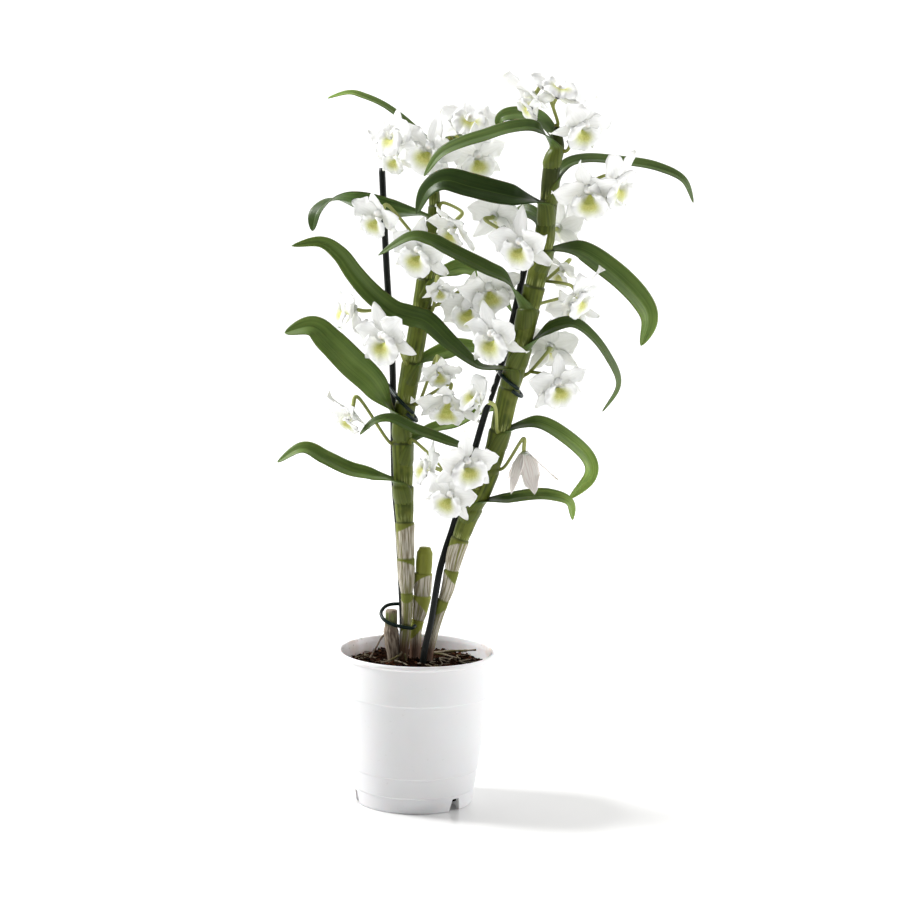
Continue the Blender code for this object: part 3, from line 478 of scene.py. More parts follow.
# Blooms: kind, size, middle, the way it faces, lean of its top sepal in degrees
BLOOMS = {
    "F01": ("open", 1.0, (32, 10, 525), (0.1, -0.75, 0.65), 10),
    "F02": ("open", 0.95, (38, -6, 502), (0.25, -0.85, -0.45), -5),
    "F03": ("open", 1.05, (3, -12, 508), (-0.35, -0.85, -0.35), 20),
    "F04": ("open", 0.85, (-23, -12, 515), (-0.6, -0.7, 0.2), -10),
    "F05": ("cupped", 0.75, (-22, 18, 500), (-0.5, -0.7, -0.5), 0),
    "F06": ("cupped", 0.95, (79, -27, 549), (-0.75, -0.3, -0.6), -20),
    "F07": ("open", 1.0, (97, -27, 550), (0.25, -0.45, 0.85), 30),
    "F08": ("open", 0.95, (116, -42, 529), (0.35, -0.8, -0.5), 15),
    "F09": ("cupped", 1.1, (122, -41, 481), (-0.1, -0.8, -0.6), -10),
    "F10": ("open", 1.05, (141, -36, 487), (0.75, -0.6, -0.3), 30),
    "F11": ("cupped", 0.9, (22, -2, 450), (-0.5, -0.5, -0.7), 0),
    "F12": ("open", 0.9, (52, -16, 457), (0.4, 0.75, 0.2), 0),
    "F13": ("open", 1.0, (73, -50, 441), (-0.5, -0.8, -0.35), 0),
    "F14": ("open", 1.0, (-3, -15, 430), (-0.5, -0.8, -0.35), 8),
    "F15": ("cupped", 0.9, (-34, -2, 456), (-0.55, -0.7, -0.45), 10),
    "F17": ("open", 1.05, (49, -8, 403), (0.2, -0.75, -0.6), -15),
    "F18": ("cupped", 1.0, (36, 10, 387), (-0.3, -0.85, -0.4), 0),
    "F19": ("open", 1.05, (54, -37, 370), (-0.5, -0.8, -0.3), -8),
    "F20": ("open", 1.05, (-28, -22, 365), (-0.5, -0.82, -0.3), -10),
    "F21": ("cupped", 0.9, (-53, 6, 382), (-0.85, -0.3, 0.1), 0),
    "F22": ("cupped", 0.9, (-54, 2, 305), (-0.5, -0.4, -0.75), 0),
    "F23": ("cupped", 1.1, (20, -5, 317), (-0.1, -0.6, -0.8), 0),
    "F24": ("cupped", 0.9, (47, -39, 321), (-0.6, -0.3, 0.4), 20),
    "F25": ("cupped", 0.7, (13, -5, 339), (0.2, -0.6, -0.6), 0),
    "F26": ("cupped", 0.55, (12, -2, 401), (0.2, -0.7, -0.6), 0),
    "F27": ("open", 1.0, (35, -45, 274), (0.3, -0.9, -0.25), -5),
    "F28": ("open", 0.9, (24, -37, 248), (-0.35, -0.85, -0.35), 20),
    "F29": ("open", 0.8, (8, -19, 266), (-0.75, -0.3, 0.2), -8),
    "F30": ("wilted", 0.9, (79, -17, 277), (0.1, 0.0, -1.0), 0),
    "F31": ("cupped", 0.7, (105, 1, 417), (-0.5, -0.55, -0.6), 0),
    "F32": ("cupped", 0.8, (114, 1, 389), (-0.2, -0.75, -0.6), -20),
    "F33": ("open", 0.95, (116, -44, 404), (0.7, -0.5, -0.5), 30),
    "F34": ("open", 0.95, (97, -4, 357), (0.2, 0.85, 0.2), 0),
    "F35": ("open", 0.95, (102, -32, 334), (0.35, -0.85, -0.4), -10),
    "F36": ("cupped", 0.85, (101, 6, 447), (0.5, 0.8, 0.1), 0),
}

# Where each stalk leaves its cane. Two blooms on one stalk make a spray.
SINGLE_BLOOMS = {
    "left": (("F03", 485), ("F11", 461), ("F14", 431), ("F15", 431), ("F20", 341), ("F21", 381),
             ("F22", 279), ("F23", 310), ("F25", 310), ("F26", 381), ("F29", 279)),
    "right": (("F08", 508), ("F12", 434), ("F13", 434), ("F19", 358), ("F24", 294), ("F30", 264),
              ("F32", 389), ("F36", 434)),
}
SPRAYS = {
    "left": (("F01", "F02", 515), ("F04", "F05", 495), ("F17", "F18", 383)),
    "right": (("F06", "F07", 530), ("F09", "F10", 471), ("F27", "F28", 250), ("F31", "F33", 406),
              ("F34", "F35", 337)),
}
print("blooms:", len(BLOOMS), "of which in sprays:", 2 * sum(map(len, SPRAYS.values())))

# %% [markdown]
# ## Stalks and roots
# Bloom stalks leave the joints, thicken at the foot where a small bract holds them, and again behind
# the bloom. They follow the same four points as the solids, so each still meets its bloom. Roots are
# tubes too, with a slow swell, and lie on the mix.

# %% Stalks, roots and the canes' pieces


def off_cane(cane, height, towards, distance):
    """The level way out of a cane towards a point, and the place that far off its skin."""
    centre = cane_centre(cane, np.array([height]))[0]
    out = unit([*(np.asarray(towards, float) - centre)[:2], 0.0])
    return out, centre + out * (float(cane_radius(cane, float(height))) + distance)


def stalk_end(bloom, sink):
    """The last two points of a stalk: behind the bloom, and sunk that far into its back."""
    _, size, middle, faces, _ = BLOOMS[bloom]
    ahead = unit(faces)
    depth = (RECEPTACLE_DEPTH + 0.5 * PETAL_THICKNESS) * size
    back = np.asarray(middle, float) - ahead * (depth - sink)
    return [back - ahead * STALK_STRAIGHT, back]


def stalk_start(cane, height, towards):
    """The first two points of a stalk: in its cane's skin, and 5 mm out and 3 mm up."""
    tip = cane_centre(cane, np.array([CANE_LINES[cane][-1][2]]))[0]
    if height > tip[2]:
        return [tip + (0, 0, GAP), tip + (0, 0, 6)]
    _, clear = off_cane(cane, height, towards, 5.0)
    return [off_cane(cane, height, towards, -1.0)[1], clear + (0, 0, 3.0)]


def stalk_skin(points, bract=1.0):
    """A stalk: thick at its foot, slim in the middle, and thick again at the bloom."""
    path, s = smooth_path(points, 26), np.linspace(0, 1, 26)
    foot = bract * 0.75 * np.exp(-((s / 0.13) ** 2))
    radii = STALK_RADIUS * (0.9 + 0.25 * ease(s, 0.55, 0.85) + foot)
    fresh = (0.3 + 0.6 * ease(s, 0.2, 0.9))[:, None]
    return skin(tube(path, radii, 12), fresh=fresh, pale=0.75 * ease(s, 0.05, 0.7)[:, None],
                rust=bract * 0.5 * np.exp(-((s / 0.08) ** 2))[:, None])


def root_skin(points, thickness):
    """A thin root that swells and narrows a little along its way."""
    path, s = smooth_path(points, 40), np.linspace(0, 1, 40)
    radii = thickness * (1 + 0.15 * np.sin(21 * s) + 0.1 * np.sin(47 * s)) * (1 - 0.45 * s)
    return skin(tube(path, radii, 10), rust=0.45, sheath=(0.5 + 0.4 * np.sin(9 * s))[:, None])


def single_stalks(cane):
    """The stalks of a cane's single blooms. Each stops where the bloom's own node starts."""
    stalks = []
    for bloom, height in SINGLE_BLOOMS[cane]:
        end = stalk_end(bloom, -0.1)
        stalks.append(stalk_skin([*stalk_start(cane, height, end[0]), *end]))
    return stalks


left_roots = [root_skin(((-10, 0, 120), (-13, -5, 116), (-20, -9, 112.5), (-27, -11, 111)), 1.1),
              root_skin(((-10, 0, 119), (-9, -3, 116), (-8, -5, 112), (-7.5, -6, 110.5)), 1.1)]
short_roots = [root_skin(((-1, 8, 118), (4, 14, 114), (12, 20, 112), (20, 18, 112), (26, 11, 112),
                          (34, 5, 111.5)), 1.1),
               root_skin(((12, 20, 112), (24, 24, 113), (37, 23, 114), (46, 18, 116)), 1.2)]
on_canes = {"left": [*single_stalks("left"), *left_roots], "right": single_stalks("right"),
            "short": short_roots}
for cane, rows in (("left", 520), ("right", 520), ("short", 200)):
    skins = [cane_skin(cane, rows, 56), *on_canes[cane]]
    make_piece(f"{cane}_cane", skins, CANE_SKIN, "cane", f"cane_{cane}")
print("stalks of single blooms:", sum(len(blooms) for blooms in SINGLE_BLOOMS.values()))

# %% [markdown]
# ## The old stub
# At the left stands what is left of a spent cane: brown-grey, wrinkled, cut off above a joint, with a
# green patch near its top. Its line and radii are the solid's, and crossing waves wrinkle the skin.

# %% Old stub
STUB_LINE = ((-17, 0, 92), (-18, 0, 112), (-19, 0, 124), (-20, 1, 134), (-20, 1, 150))
STUB_RADII = ((92, 3.4), (112, 4.2), (124, 5.3), (133, 5.7), (137, 4.7), (150, 4.6))


def stub_finish():
    """Dry brown-grey skin with long fibres, and green where it still lives."""
    f = Finish("old_cane_skin", Roughness=0.75)
    across, along, _ = f.parts(f.uv())
    fibre = f.grain(across, along, 22.0, 5.0)
    brown = f.mix(f.steps(fibre, 0.35, 0.65), (0.13, 0.09, 0.06), (0.42, 0.35, 0.27))
    f.colour(f.mix(f.times(f.mark("living"), f.steps(fibre, 0.3, 0.6)), brown, (0.16, 0.19, 0.05)))
    f.bump(fibre, 0.9, 0.0007)
    return f.material


def stub_skin():
    """The stub's rings, wrinkled by two waves, with a bevelled cut at the top."""
    path = smooth_path(STUB_LINE, 120)
    angle = ring_angles(40)
    z = path[:, 2][:, None]
    radius = np.interp(path[:, 2], *np.transpose(STUB_RADII))[:, None]
    radius = radius * (1 + 0.05 * np.cos(6 * angle + 0.15 * z) + 0.035 * np.cos(11 * angle - 0.31 * z))
    radius = radius * (1 - 0.12 * ease(z, 148.8, 150))
    living = ease(z, 136, 141) * ease(z, 150, 147)
    return skin(tube(path, radius, 40), living=living)


stub_root = root_skin(((-18, 3, 133), (-26, 3, 129), (-31, 4, 120), (-36, 4, 111)), 1.0)
make_piece("old_cane_stub", [stub_skin(), stub_root], stub_finish(), "old_cane", "old_stub")

# %% [markdown]
# ## Leaves
# A leaf is a strap folded into a shallow V along its midrib. Its base clasps the cane as a collar: low
# down the blade lies round the cane, and over its first part it opens like a funnel into the strap.
# The sheet is a blend of those two shapes. Each leaf turns its upper side where it was seen to face.

# %% Leaf shapes
LEAF_THICKNESS = 0.9
LEAF_FOLD = math.radians(18)
LEAVES = {
    "leaf_01": ("left", 500, 11, ((0.1, -0.4, 0.9), (-0.2, -0.4, 0.9)),
                ((-9, 12, 519), (-30, 8, 535), (-48, 5, 543), (-59, 4, 546), (-75, 2, 542))),
    "leaf_02": ("left", 450, 22,
                ((0.1, 0.9, 0.4), (0.1, 0.8, 0.6), (-0.4, -0.15, 0.9), (-0.6, -0.8, 0.2)),
                ((-25, 12, 457), (-52, 7, 463), (-70, 3, 465), (-81, -2, 456), (-85, -4, 442))),
    "leaf_03": ("right", 340, 18,
                ((0.5, -0.4, 0.8), (0.2, -0.9, 0.3), (-0.3, -0.85, 0.4), (0.1, -0.9, 0.4)),
                ((44, -27, 344), (21, -19, 360), (3, -9, 375), (-10, -6, 379), (-23, -4, 383),
                 (-39, 0, 395), (-52, 2, 409), (-64, 3, 424), (-79, 3, 433), (-101, 0, 430))),
    "leaf_04": ("right", 387, 17, ((0.4, -0.6, 0.7), (-0.1, -0.6, 0.8)),
                ((63, -34, 410), (47, -37, 419), (31, -38, 427), (16, -39, 434), (4, -39, 440),
                 (-11, -38, 442), (-34, -36, 428))),
    "leaf_05": ("right", 466, 22, ((0.1, -0.75, 0.65), (-0.6, -0.8, 0.4)),
                ((69, -38, 473), (51, -40, 477), (33, -40, 481), (15, -38, 485), (2, -35, 477),
                 (-6, -32, 459))),
    "leaf_06": ("right", 509, 17, ((0.4, -0.5, 0.8), (0.0, -0.5, 0.85), (-0.4, -0.6, 0.6)),
                ((86, -39, 522), (77, -41, 526), (62, -42, 524), (45, -42, 519), (27, -42, 513),
                 (11, -40, 504), (-1, -38, 488))),
    "leaf_07": ("right", 514, 15, ((0.2, -0.6, 0.8), (-0.5, -0.6, 0.4)),
                ((86, -10, 529), (70, 0, 533), (57, 4, 530), (54, 6, 521))),
    "leaf_08": ("right", 482, 16, ((-0.2, -0.4, 0.9), (0.1, -0.4, 0.9), (0.6, -0.5, 0.6)),
                ((105, -20, 496), (123, -14, 501), (149, -12, 499), (174, -11, 495), (193, -10, 487),
                 (202, -8, 470))),
    "leaf_09": ("right", 430, 21, ((-0.2, -0.7, 0.7), (0.5, -0.85, 0.2)),
                ((117, -16, 432), (142, -11, 416), (164, -7, 395), (171, -6, 380), (166, -5, 360))),
    "leaf_10": ("right", 355, 16, ((-0.2, -0.4, 0.9), (0.8, -0.4, 0.4), (0.9, -0.4, 0.1)),
                ((92, -25, 371), (111, -28, 378), (127, -31, 369), (139, -33, 354), (147, -33, 334),
                 (137, -32, 313))),
    "leaf_11": ("right", 291, 16, ((-0.2, -0.5, 0.8), (0.6, -0.7, 0.3)),
                ((87, -14, 300), (110, -10, 289), (127, -6, 273), (129, -6, 258), (114, -8, 241))),
    "leaf_12": ("right", 236, 16, ((-0.1, -0.4, 0.9), (0.4, -0.5, 0.7)),
                ((65, -20, 241), (80, -24, 245), (98, -26, 246), (113, -25, 242), (117, -24, 228))),
    "leaf_13": ("left", 295, 25, ((0.2, -0.95, 0.3), (-0.1, -0.8, 0.6)),
                ((-36, -5, 325), (-55, -8, 343), (-70, -8, 358), (-84, -6, 369), (-105, -4, 364))),
    "leaf_14": ("left", 247, 17, ((0.1, -0.5, 0.85), (-0.2, -0.6, 0.7)),
                ((-37, -2, 255), (-53, -6, 259), (-73, -9, 269), (-90, -10, 276), (-109, -8, 265))),
    "leaf_15": ("right", 272, 13, ((0.1, -0.5, 0.85), (-0.2, -0.5, 0.85)),
                ((26, -26, 284), (0, -24, 293), (-10, -23, 297), (-23, -22, 302), (-35, -22, 300),
                 (-46, -22, 290))),
    "leaf_16": ("left", 338, 17, ((-0.1, -0.8, 0.6), (0.2, -0.7, 0.7)),
                ((18, 22, 349), (32, 28, 352), (50, 34, 350))),
    "leaf_17": ("left", 403, 16, ((-0.1, -0.7, 0.7), (0.5, -0.6, 0.6)),
                ((21, 24, 411), (33, 30, 412), (51, 35, 404), (68, 38, 379))),
    "leaf_18": ("left", 276, 12, ((-0.1, -0.6, 0.8), (0.2, -0.6, 0.8)),
                ((7, 18, 288), (26, 24, 293), (47, 28, 303), (62, 31, 304))),
    "leaf_19": ("left", 495, 13, ((0.1, -0.7, 0.7), (0.1, -0.7, 0.7)),
                ((17, 34, 505), (22, 43, 512), (28, 54, 512))),
    "leaf_20": ("right", 449, 14, ((0.1, -0.5, 0.9), (-0.6, -0.6, 0.5)),
                ((81, -6, 458), (72, 4, 459), (67, 10, 446))),
}
# Painted light and shade: how bright a leaf is painted at its base and at its tip,
# from 0 for the darkest to over 1 for a sunlit tip
LEAF_PAINTED_LIGHT = {"leaf_01": (0.1, 1.0), "leaf_02": (0.25, 0.05), "leaf_03": (0.1, 0.45),
              "leaf_05": (0.0, 0.05), "leaf_06": (0.1, 0.3), "leaf_09": (0.1, 0.6),
              "leaf_11": (0.1, 1.2), "leaf_12": (0.05, 0.9), "leaf_13": (0.5, 0.35),
              "leaf_14": (0.45, 0.4), "leaf_16": (0.5, 0.5), "leaf_17": (0.5, 0.5),
              "leaf_18": (0.5, 0.5)}
USUAL_PAINTED_LIGHT = (0.15, 0.25)
print("widest leaf:", max(LEAVES, key=lambda name: LEAVES[name][2]))

# %% [markdown]
# ## From collar to strap
# Each leaf is worked out twice: once as a collar wrapped round its cane, and once as a free strap. The
# leaf is the first near its foot and the second further out, with a smooth change between the two.

# %% Collar and strap
COLLAR_LENGTH = 14.0
COLLAR_TOP = 10.0
OPENING_LENGTH = 22.0
LONGEST_OPENING = 0.34


def strap(spine, width, faces, rows, columns):
    """A strap leaf: flat at its base, and from there the two halves rise in a shallow V.

    The half width grows from half of its full size over the first third and closes at the tip. The side
    direction is square to the midrib and to a facing, which is the stem's side at the base and turns
    through the given directions from there to the tip.
    """
    line = smooth_path(spine, rows)
    s = np.linspace(0, 1, rows)[:, None]
    run = unit(np.gradient(line, axis=0))
    stops = np.linspace(0, 1, len(faces))
    looks = unit(faces)
    facing = np.stack([np.interp(s[:, 0], stops, looks[:, k]) for k in range(3)], axis=1)
    out = unit(run[0] * (1, 1, 0))
    inner = np.array([0, 0, run[0] @ out]) - out * run[0][2]
    near = np.clip(1 - s / 0.2, 0, 1)
    facing = near * inner + (1 - near) * facing
    facing = unit(facing - (facing * run).sum(1)[:, None] * run)
    side = np.cross(facing, run)
    half = 0.5 * width * (0.5 + 0.5 * np.sin(0.5 * np.pi * np.minimum(s / 0.35, 1.0)))
    half = half * np.maximum(1 - s**4, 1e-4) ** 0.6
    v = np.linspace(-1, 1, columns)[None, :, None]
    fold = (LEAF_FOLD * np.minimum(s / 0.2, 1.0))[:, :, None]
    across = side[:, None] * v * np.cos(fold) + facing[:, None] * (abs(v) - 0.12 * v**4) * np.sin(fold)
    return line[:, None] + across * half[:, None], facing


def collar(cane, height, out, rows, columns):
    """A blade wrapped round its cane: from 165 degrees either way at its foot to 75 at its top.

    It stands half a millimetre off the skin in the middle, and sinks into it at its sides and foot.
    """
    rise = np.linspace(-COLLAR_LENGTH, COLLAR_TOP, rows)
    z = height + rise
    wrap = np.radians(np.interp(rise, (-COLLAR_LENGTH, -2.0, COLLAR_TOP), (165, 125, 75)))[:, None]
    v = np.linspace(-1, 1, columns)[None, :]
    turned = np.array([-out[1], out[0], 0.0])
    way = out * np.cos(wrap * v)[..., None] + turned * np.sin(wrap * v)[..., None]
    proud = 0.55 - 0.9 * v**6 - 0.9 * ease(rise, -COLLAR_LENGTH + 5, -COLLAR_LENGTH)[:, None]
    reach = cane_radius(cane, z)[:, None] + proud
    return cane_centre(cane, z)[:, None] + way * reach[..., None]


def leaf_skin(name, number):
    """The collar's rows first, then the strap, blended over its opening, as one thin solid."""
    cane, height, width, faces, points = LEAVES[name]
    out, base = off_cane(cane, height, points[0], GAP + 0.2 * LEAF_THICKNESS)
    columns, low_rows, high_rows = 17, 22, 84
    blade, facing = strap([base, *points], width, faces, high_rows, columns)
    wrapped = collar(cane, height, out, low_rows, columns)
    length = np.linalg.norm(np.diff(smooth_path([base, *points], 40), axis=0), axis=1).sum()
    opening = min(LONGEST_OPENING, OPENING_LENGTH / length)
    s = np.linspace(0, 1, high_rows)
    share = ease(s, 0, opening)[:, None, None]
    climb = np.interp(s, (0, opening), (0, 1)) * 0.99
    foot_rows = int(round(low_rows * COLLAR_LENGTH / (COLLAR_LENGTH + COLLAR_TOP)))
    place = foot_rows + climb * (low_rows - 1 - foot_rows)
    below = np.minimum(place.astype(int), low_rows - 2)
    part = (place - below)[:, None, None]
    around_cane = wrapped[below] * (1 - part) + wrapped[below + 1] * part
    v = np.linspace(-1, 1, columns)[None, :, None]
    wave = (np.sin(14 * s + 1.7 * number) * np.sin(np.pi * s))[:, None, None]
    blade = blade + facing[:, None] * (0.03 * width * v**2 * wave)
    sheet = np.concatenate([wrapped[:foot_rows], around_cane * (1 - share) + blade * share])
    along = np.concatenate([np.linspace(-0.1, 0, foot_rows), s])[:, None]
    across = v[..., 0] + 0 * along
    lower = both_faces(0 * across, 0 * across + 1)
    # Painted light and shade: each leaf's brightness from base to tip, over 1 for a sunlit tip.
    tone = np.interp(along[:, 0], (0.1, 0.9), LEAF_PAINTED_LIGHT.get(name, USUAL_PAINTED_LIGHT))[:, None]
    return skin(lens(sheet, LEAF_THICKNESS), across=both_faces(across, across), under=lower,
                along=both_faces(along + 0 * across, along + 0 * across), tone=tone, seed=number * 3.7)


# %% [markdown]
# ## Leaf finish
# Leaves are waxy: a fairly smooth shader with a little coat. The veins run the whole length side by
# side, so the noise is stretched along the blade. The midrib is a pale line, undersides are lighter
# and duller, and the collar fades into the cane's green.

# %% Leaf material and pieces


def leaf_finish():
    """Two greens mixed by long veins, with painted light and shade per leaf, a paler underside, a light
    midrib and edge.
    """
    f = Finish("leaf_blade", Roughness=0.42, Specular_IOR_Level=0.2, Coat_Weight=0.04,
               Coat_Roughness=0.3, Subsurface_Weight=0.06, Subsurface_Scale=0.002)
    across, along, seed = f.mark("across"), f.mark("along"), f.mark("seed")
    fine = f.grain(across, along, 14.0, 1.1, seed)
    broad = f.grain(across, along, 1.6, 4.0, seed)
    veins = f.sums("ADD", f.times(fine, 0.55), f.times(broad, 0.45))
    # Painted light and shade: the mark lightens or darkens each leaf's greens from base to tip.
    dark = f.mix(f.mark("tone"), (0.011, 0.026, 0.004), (0.085, 0.165, 0.022))
    light = f.mix(f.mark("tone"), (0.034, 0.066, 0.010), (0.33, 0.47, 0.10))
    top = f.mix(f.steps(veins, 0.18, 0.80), dark, light)
    below = f.mix(f.steps(veins, 0.36, 0.66), (0.042, 0.085, 0.014), (0.105, 0.18, 0.04))
    colour = f.mix(f.mark("under"), top, below)
    rib = f.steps(f.sums("ABSOLUTE", across), 0.06, 0.0)
    colour = f.mix(f.times(rib, 0.4), colour, (0.13, 0.20, 0.045))
    edge = f.steps(f.sums("ABSOLUTE", across), 0.94, 1.0)
    colour = f.mix(f.times(edge, 0.3), colour, (0.13, 0.19, 0.04))
    stripe = f.mix(f.steps(fine, 0.2, 0.8), (0.060, 0.080, 0.010), (0.112, 0.142, 0.018))
    f.colour(f.mix(f.steps(along, 0.13, -0.03), colour, stripe))
    f.bump(fine, 0.25, 0.0004)
    return f.material


LEAF_BLADE = leaf_finish()
for number, name in enumerate(LEAVES):
    make_piece(name.replace("leaf", "strap_leaf"), [leaf_skin(name, number)], LEAF_BLADE, "leaf", name)
print("leaves:", len(LEAVES))

# %% [markdown]
# ## Blooms
# A bloom has three pointed sepals, two broad ruffled petals, and a lip rolled into a trumpet round the
# column, with a wide round front that is finely toothed. It is made facing up with its top sepal at +Y
# and then turned into place. A seeded draw varies each bloom a little, so no two are the same.

# %% Bloom shapes
RING_RADIUS = 4.5
CLAW_ANGLE = 22.0
TRUMPET_ANGLE = 140.0
PETAL_START = 1.0
KINDS = {
    # kind: sepal lift and bend, petal lift and bend, lip opening and rise, slimness
    "open": (0.05, -0.12, 0.22, -0.22, 1.0, 0.0, 1.0),
    "cupped": (0.45, -0.25, 0.60, -0.35, 0.85, 2.5, 1.0),
    "wilted": (1.3, -0.1, 1.5, -0.2, 0.2, 4.0, 0.75),
}
SEPAL_ANGLES, SEPAL_LENGTH, SEPAL_WIDTH, SEPAL_RUFFLE = (0, 128, 232), 22.5, 11.5, 0.7
PETAL_ANGLES, PETAL_LENGTH, PETAL_WIDTH, PETAL_RUFFLE = (70, 290), 20.5, 20.0, 2.6
PETAL_BASE = 1.6
UNEVEN = 0.09


def petal_sheet(angle, length, width, base, lift, bend, ruffle, draw, rows, columns):
    """A sepal or petal that leaves the bloom's middle at an angle from its top.

    With s from the ring outwards, its half width follows a sine of s to the power 0.8, it rises by
    lift and bends by bend times s squared, and its edges wave by ruffle. Inside the ring it narrows
    to its root. Fainter waves and a groove along the middle keep it from looking like a spoon.
    """
    q = np.linspace(0, 1, rows)[:, None]
    v = np.linspace(-1, 1, columns)[None, :]
    reach = PETAL_START + (RING_RADIUS - PETAL_START + length) * q
    s = np.clip((reach - RING_RADIUS) / length, 0, 1)
    root = np.clip((reach - PETAL_START) / (RING_RADIUS - PETAL_START), 0, 1)
    half = 0.5 * width * (0.45 * (1 - s) ** 3 + np.sin(np.pi * s**0.8) ** 0.8) * (0.5 + 0.5 * root)
    half = np.maximum(half, 0.04)
    height = base * root - 0.6 * (1 - root) + length * (lift * s + bend * s**2)
    height = height + 0.12 * half * v**2 * s
    swell, turn = np.sin(np.pi * s), draw.uniform(-1, 1)
    height = height + ruffle * v**2 * np.sin(2 * np.pi * s + turn + 1.2 * np.sign(v)) * swell
    height = height + 0.45 * ruffle * v**4 * np.sin(17 * s + draw.uniform(0, 6) + 2 * v) * swell
    height = height + 1.9 * draw.normal() * v * s - 0.35 * np.exp(-((v / 0.14) ** 2)) * swell
    sideways = half * v * (1 + 0.04 * np.sin(19 * s + 3 * v)) + draw.normal() * 1.5 * s**2
    a = math.radians(angle + 4 * draw.normal())
    x = reach * math.sin(a) + sideways * math.cos(a)
    y = reach * math.cos(a) - sideways * math.sin(a)
    return np.stack([x, y, height], axis=-1), q, v + 0 * q


# %% [markdown]
# ## The lip and the bloom's middle
# The lip is one of the three petals, and the showy one: it makes the landing place for a bee and wraps
# round the column, which carries the pollen. It is worked out over an angle and a way outwards.

# %% Lip, column and seat


def lip_sheet(opening, rise, draw, rows, columns):
    """The lip: a narrow claw that widens into a trumpet open at the top, with a cupped round front.

    The angle runs from the bottom to either side, and opens from the claw's to the trumpet's. The
    radius keeps to a tube up to the throat and then flares, most at the bottom. The front reaches on
    ahead as a cup and its rim curls back. Waves ruffle the rim, and a quick one cuts its fine teeth.
    """
    s = np.linspace(0, 1, rows)[:, None]
    v = np.linspace(1, -1, columns)[None, :]
    wrap = np.sin(0.5 * np.pi * np.minimum(s / 0.35, 1))
    flare = np.clip((s - 0.33) / 0.67, 0, 1)
    angle = np.radians(CLAW_ANGLE + (TRUMPET_ANGLE - CLAW_ANGLE) * wrap) * v
    reach = RING_RADIUS + 0.5 * wrap + (4.8 + 7.2 * np.cos(0.5 * angle) ** 2) * opening * flare
    phase = draw.uniform(0, 6, 3)
    teeth = np.sin(95 * v + phase[0]) + 0.6 * np.sin(151 * v + phase[1])
    reach = reach + 0.18 * teeth * flare**8 - 0.5 * (1 - wrap)
    ahead = (8.5 + rise) * np.sin(0.5 * np.pi * np.minimum(s / 0.45, 1)) ** 0.9
    ahead = ahead + 5.0 * flare - (3.0 * flare**2 + 2.2 * flare**6) * opening
    ruffle = 1.0 * np.sin(7.5 * angle + phase[1]) + 0.6 * np.sin(13 * angle + phase[2])
    crease = 0.7 * np.exp(-((v / 0.1) ** 2)) * flare * (1 - flare) * 4
    ahead = ahead + 1.2 * ruffle * flare**2 * opening - crease
    x = reach * np.sin(angle)
    y = -reach * np.cos(angle) - 2.0 * flare
    return np.stack([x, y, ahead + 0 * angle], axis=-1), s + 0 * v, v + 0 * s


def column_skin():
    """The column: a blunt horn in the top of the throat, bent towards the lip, brownish at its tip."""
    path = smooth_path(((0, 0.8, -1.5), (0, 2.2, 1.5), (0, 2.8, 3.6), (0, 2.0, 6.2)), 18)
    s = np.linspace(0, 1, 18)
    radii = 2.9 * np.sqrt(np.clip(1 - ease(s, 0.7, 1.02) ** 2, 0.02, 1)) * (1.1 - 0.2 * s)
    return skin(tube(path, radii, 16), blush=0.3 * ease(s, 0.86, 1.0)[:, None])


def receptacle_skin():
    """The small green seat at the back, where the stalk meets all the petals."""
    path = smooth_path(((0, 0, -RECEPTACLE_DEPTH - 0.3), (0, 0, -1.0), (0, 0, 1.2)), 10)
    radii = np.interp(np.linspace(0, 1, 10), (0, 0.2, 0.6, 0.9, 1.0), (1.5, 2.1, 3.9, 4.6, 4.0))
    return skin(tube(path, radii, 20), green=np.linspace(1.0, 0.2, 10)[:, None])


# %% [markdown]
# ## A whole bloom
# Three sepals stand behind, two petals lie over them, and the lip comes last. The bloom's own number
# seeds its draw, so that it comes out the same on each run.

# %% Whole blooms


def blade_skin(sheet, along, across, **marks):
    """A petal's sheet as a thin solid with its marks on both faces."""
    level = 0 * along + 0 * across
    marks = {"along": along, "across": across, **marks}
    full = {name: both_faces(mark + level, mark + level) for name, mark in marks.items()}
    return skin(lens(sheet, PETAL_THICKNESS), **full)


def bloom_skins(bloom):
    """Every skin of one bloom, in its place."""
    kind, size, middle, faces, lean = BLOOMS[bloom]
    sepal_lift, sepal_bend, petal_lift, petal_bend, opening, rise, slim = KINDS[kind]
    draw = np.random.default_rng(int(bloom[1:]) * 7 + 1)
    old = 1.0 if kind == "wilted" else 0.0
    skins = [column_skin(), receptacle_skin()]
    for angle in SEPAL_ANGLES:
        lift, bend = np.array([sepal_lift, sepal_bend]) + UNEVEN * draw.normal(size=2)
        sheet, q, v = petal_sheet(angle, SEPAL_LENGTH, SEPAL_WIDTH * slim, 0.0, lift, bend,
                                  SEPAL_RUFFLE, draw, 26, 13)
        green = 0.5 * np.exp(-q / 0.1) + 0.25 * ease(q, 0.88, 1.0)
        skins.append(blade_skin(sheet, q, v, green=green, old=old))
    for angle in PETAL_ANGLES:
        lift, bend = np.array([petal_lift, petal_bend]) + UNEVEN * draw.normal(size=2)
        sheet, q, v = petal_sheet(angle, PETAL_LENGTH, PETAL_WIDTH * slim, PETAL_BASE, lift, bend,
                                  PETAL_RUFFLE, draw, 30, 19)
        skins.append(blade_skin(sheet, q, v, green=0.3 * np.exp(-q / 0.08), old=old))
    sheet, s, v = lip_sheet(opening, rise, draw, 34, 49)
    throat = ease(s, 0.92 - 0.5 * v**2, 0.40) * ease(abs(v), 0.8, 0.2)
    blush = 0.18 * np.exp(-(((s - 0.42) / 0.08) ** 2)) * ease(abs(v), 0.7, 0.1)
    skins.append(blade_skin(sheet, s, v, throat=throat, blush=blush, old=old))
    return [(to_place(rings * size, middle, faces, lean), marks) for rings, marks in skins]


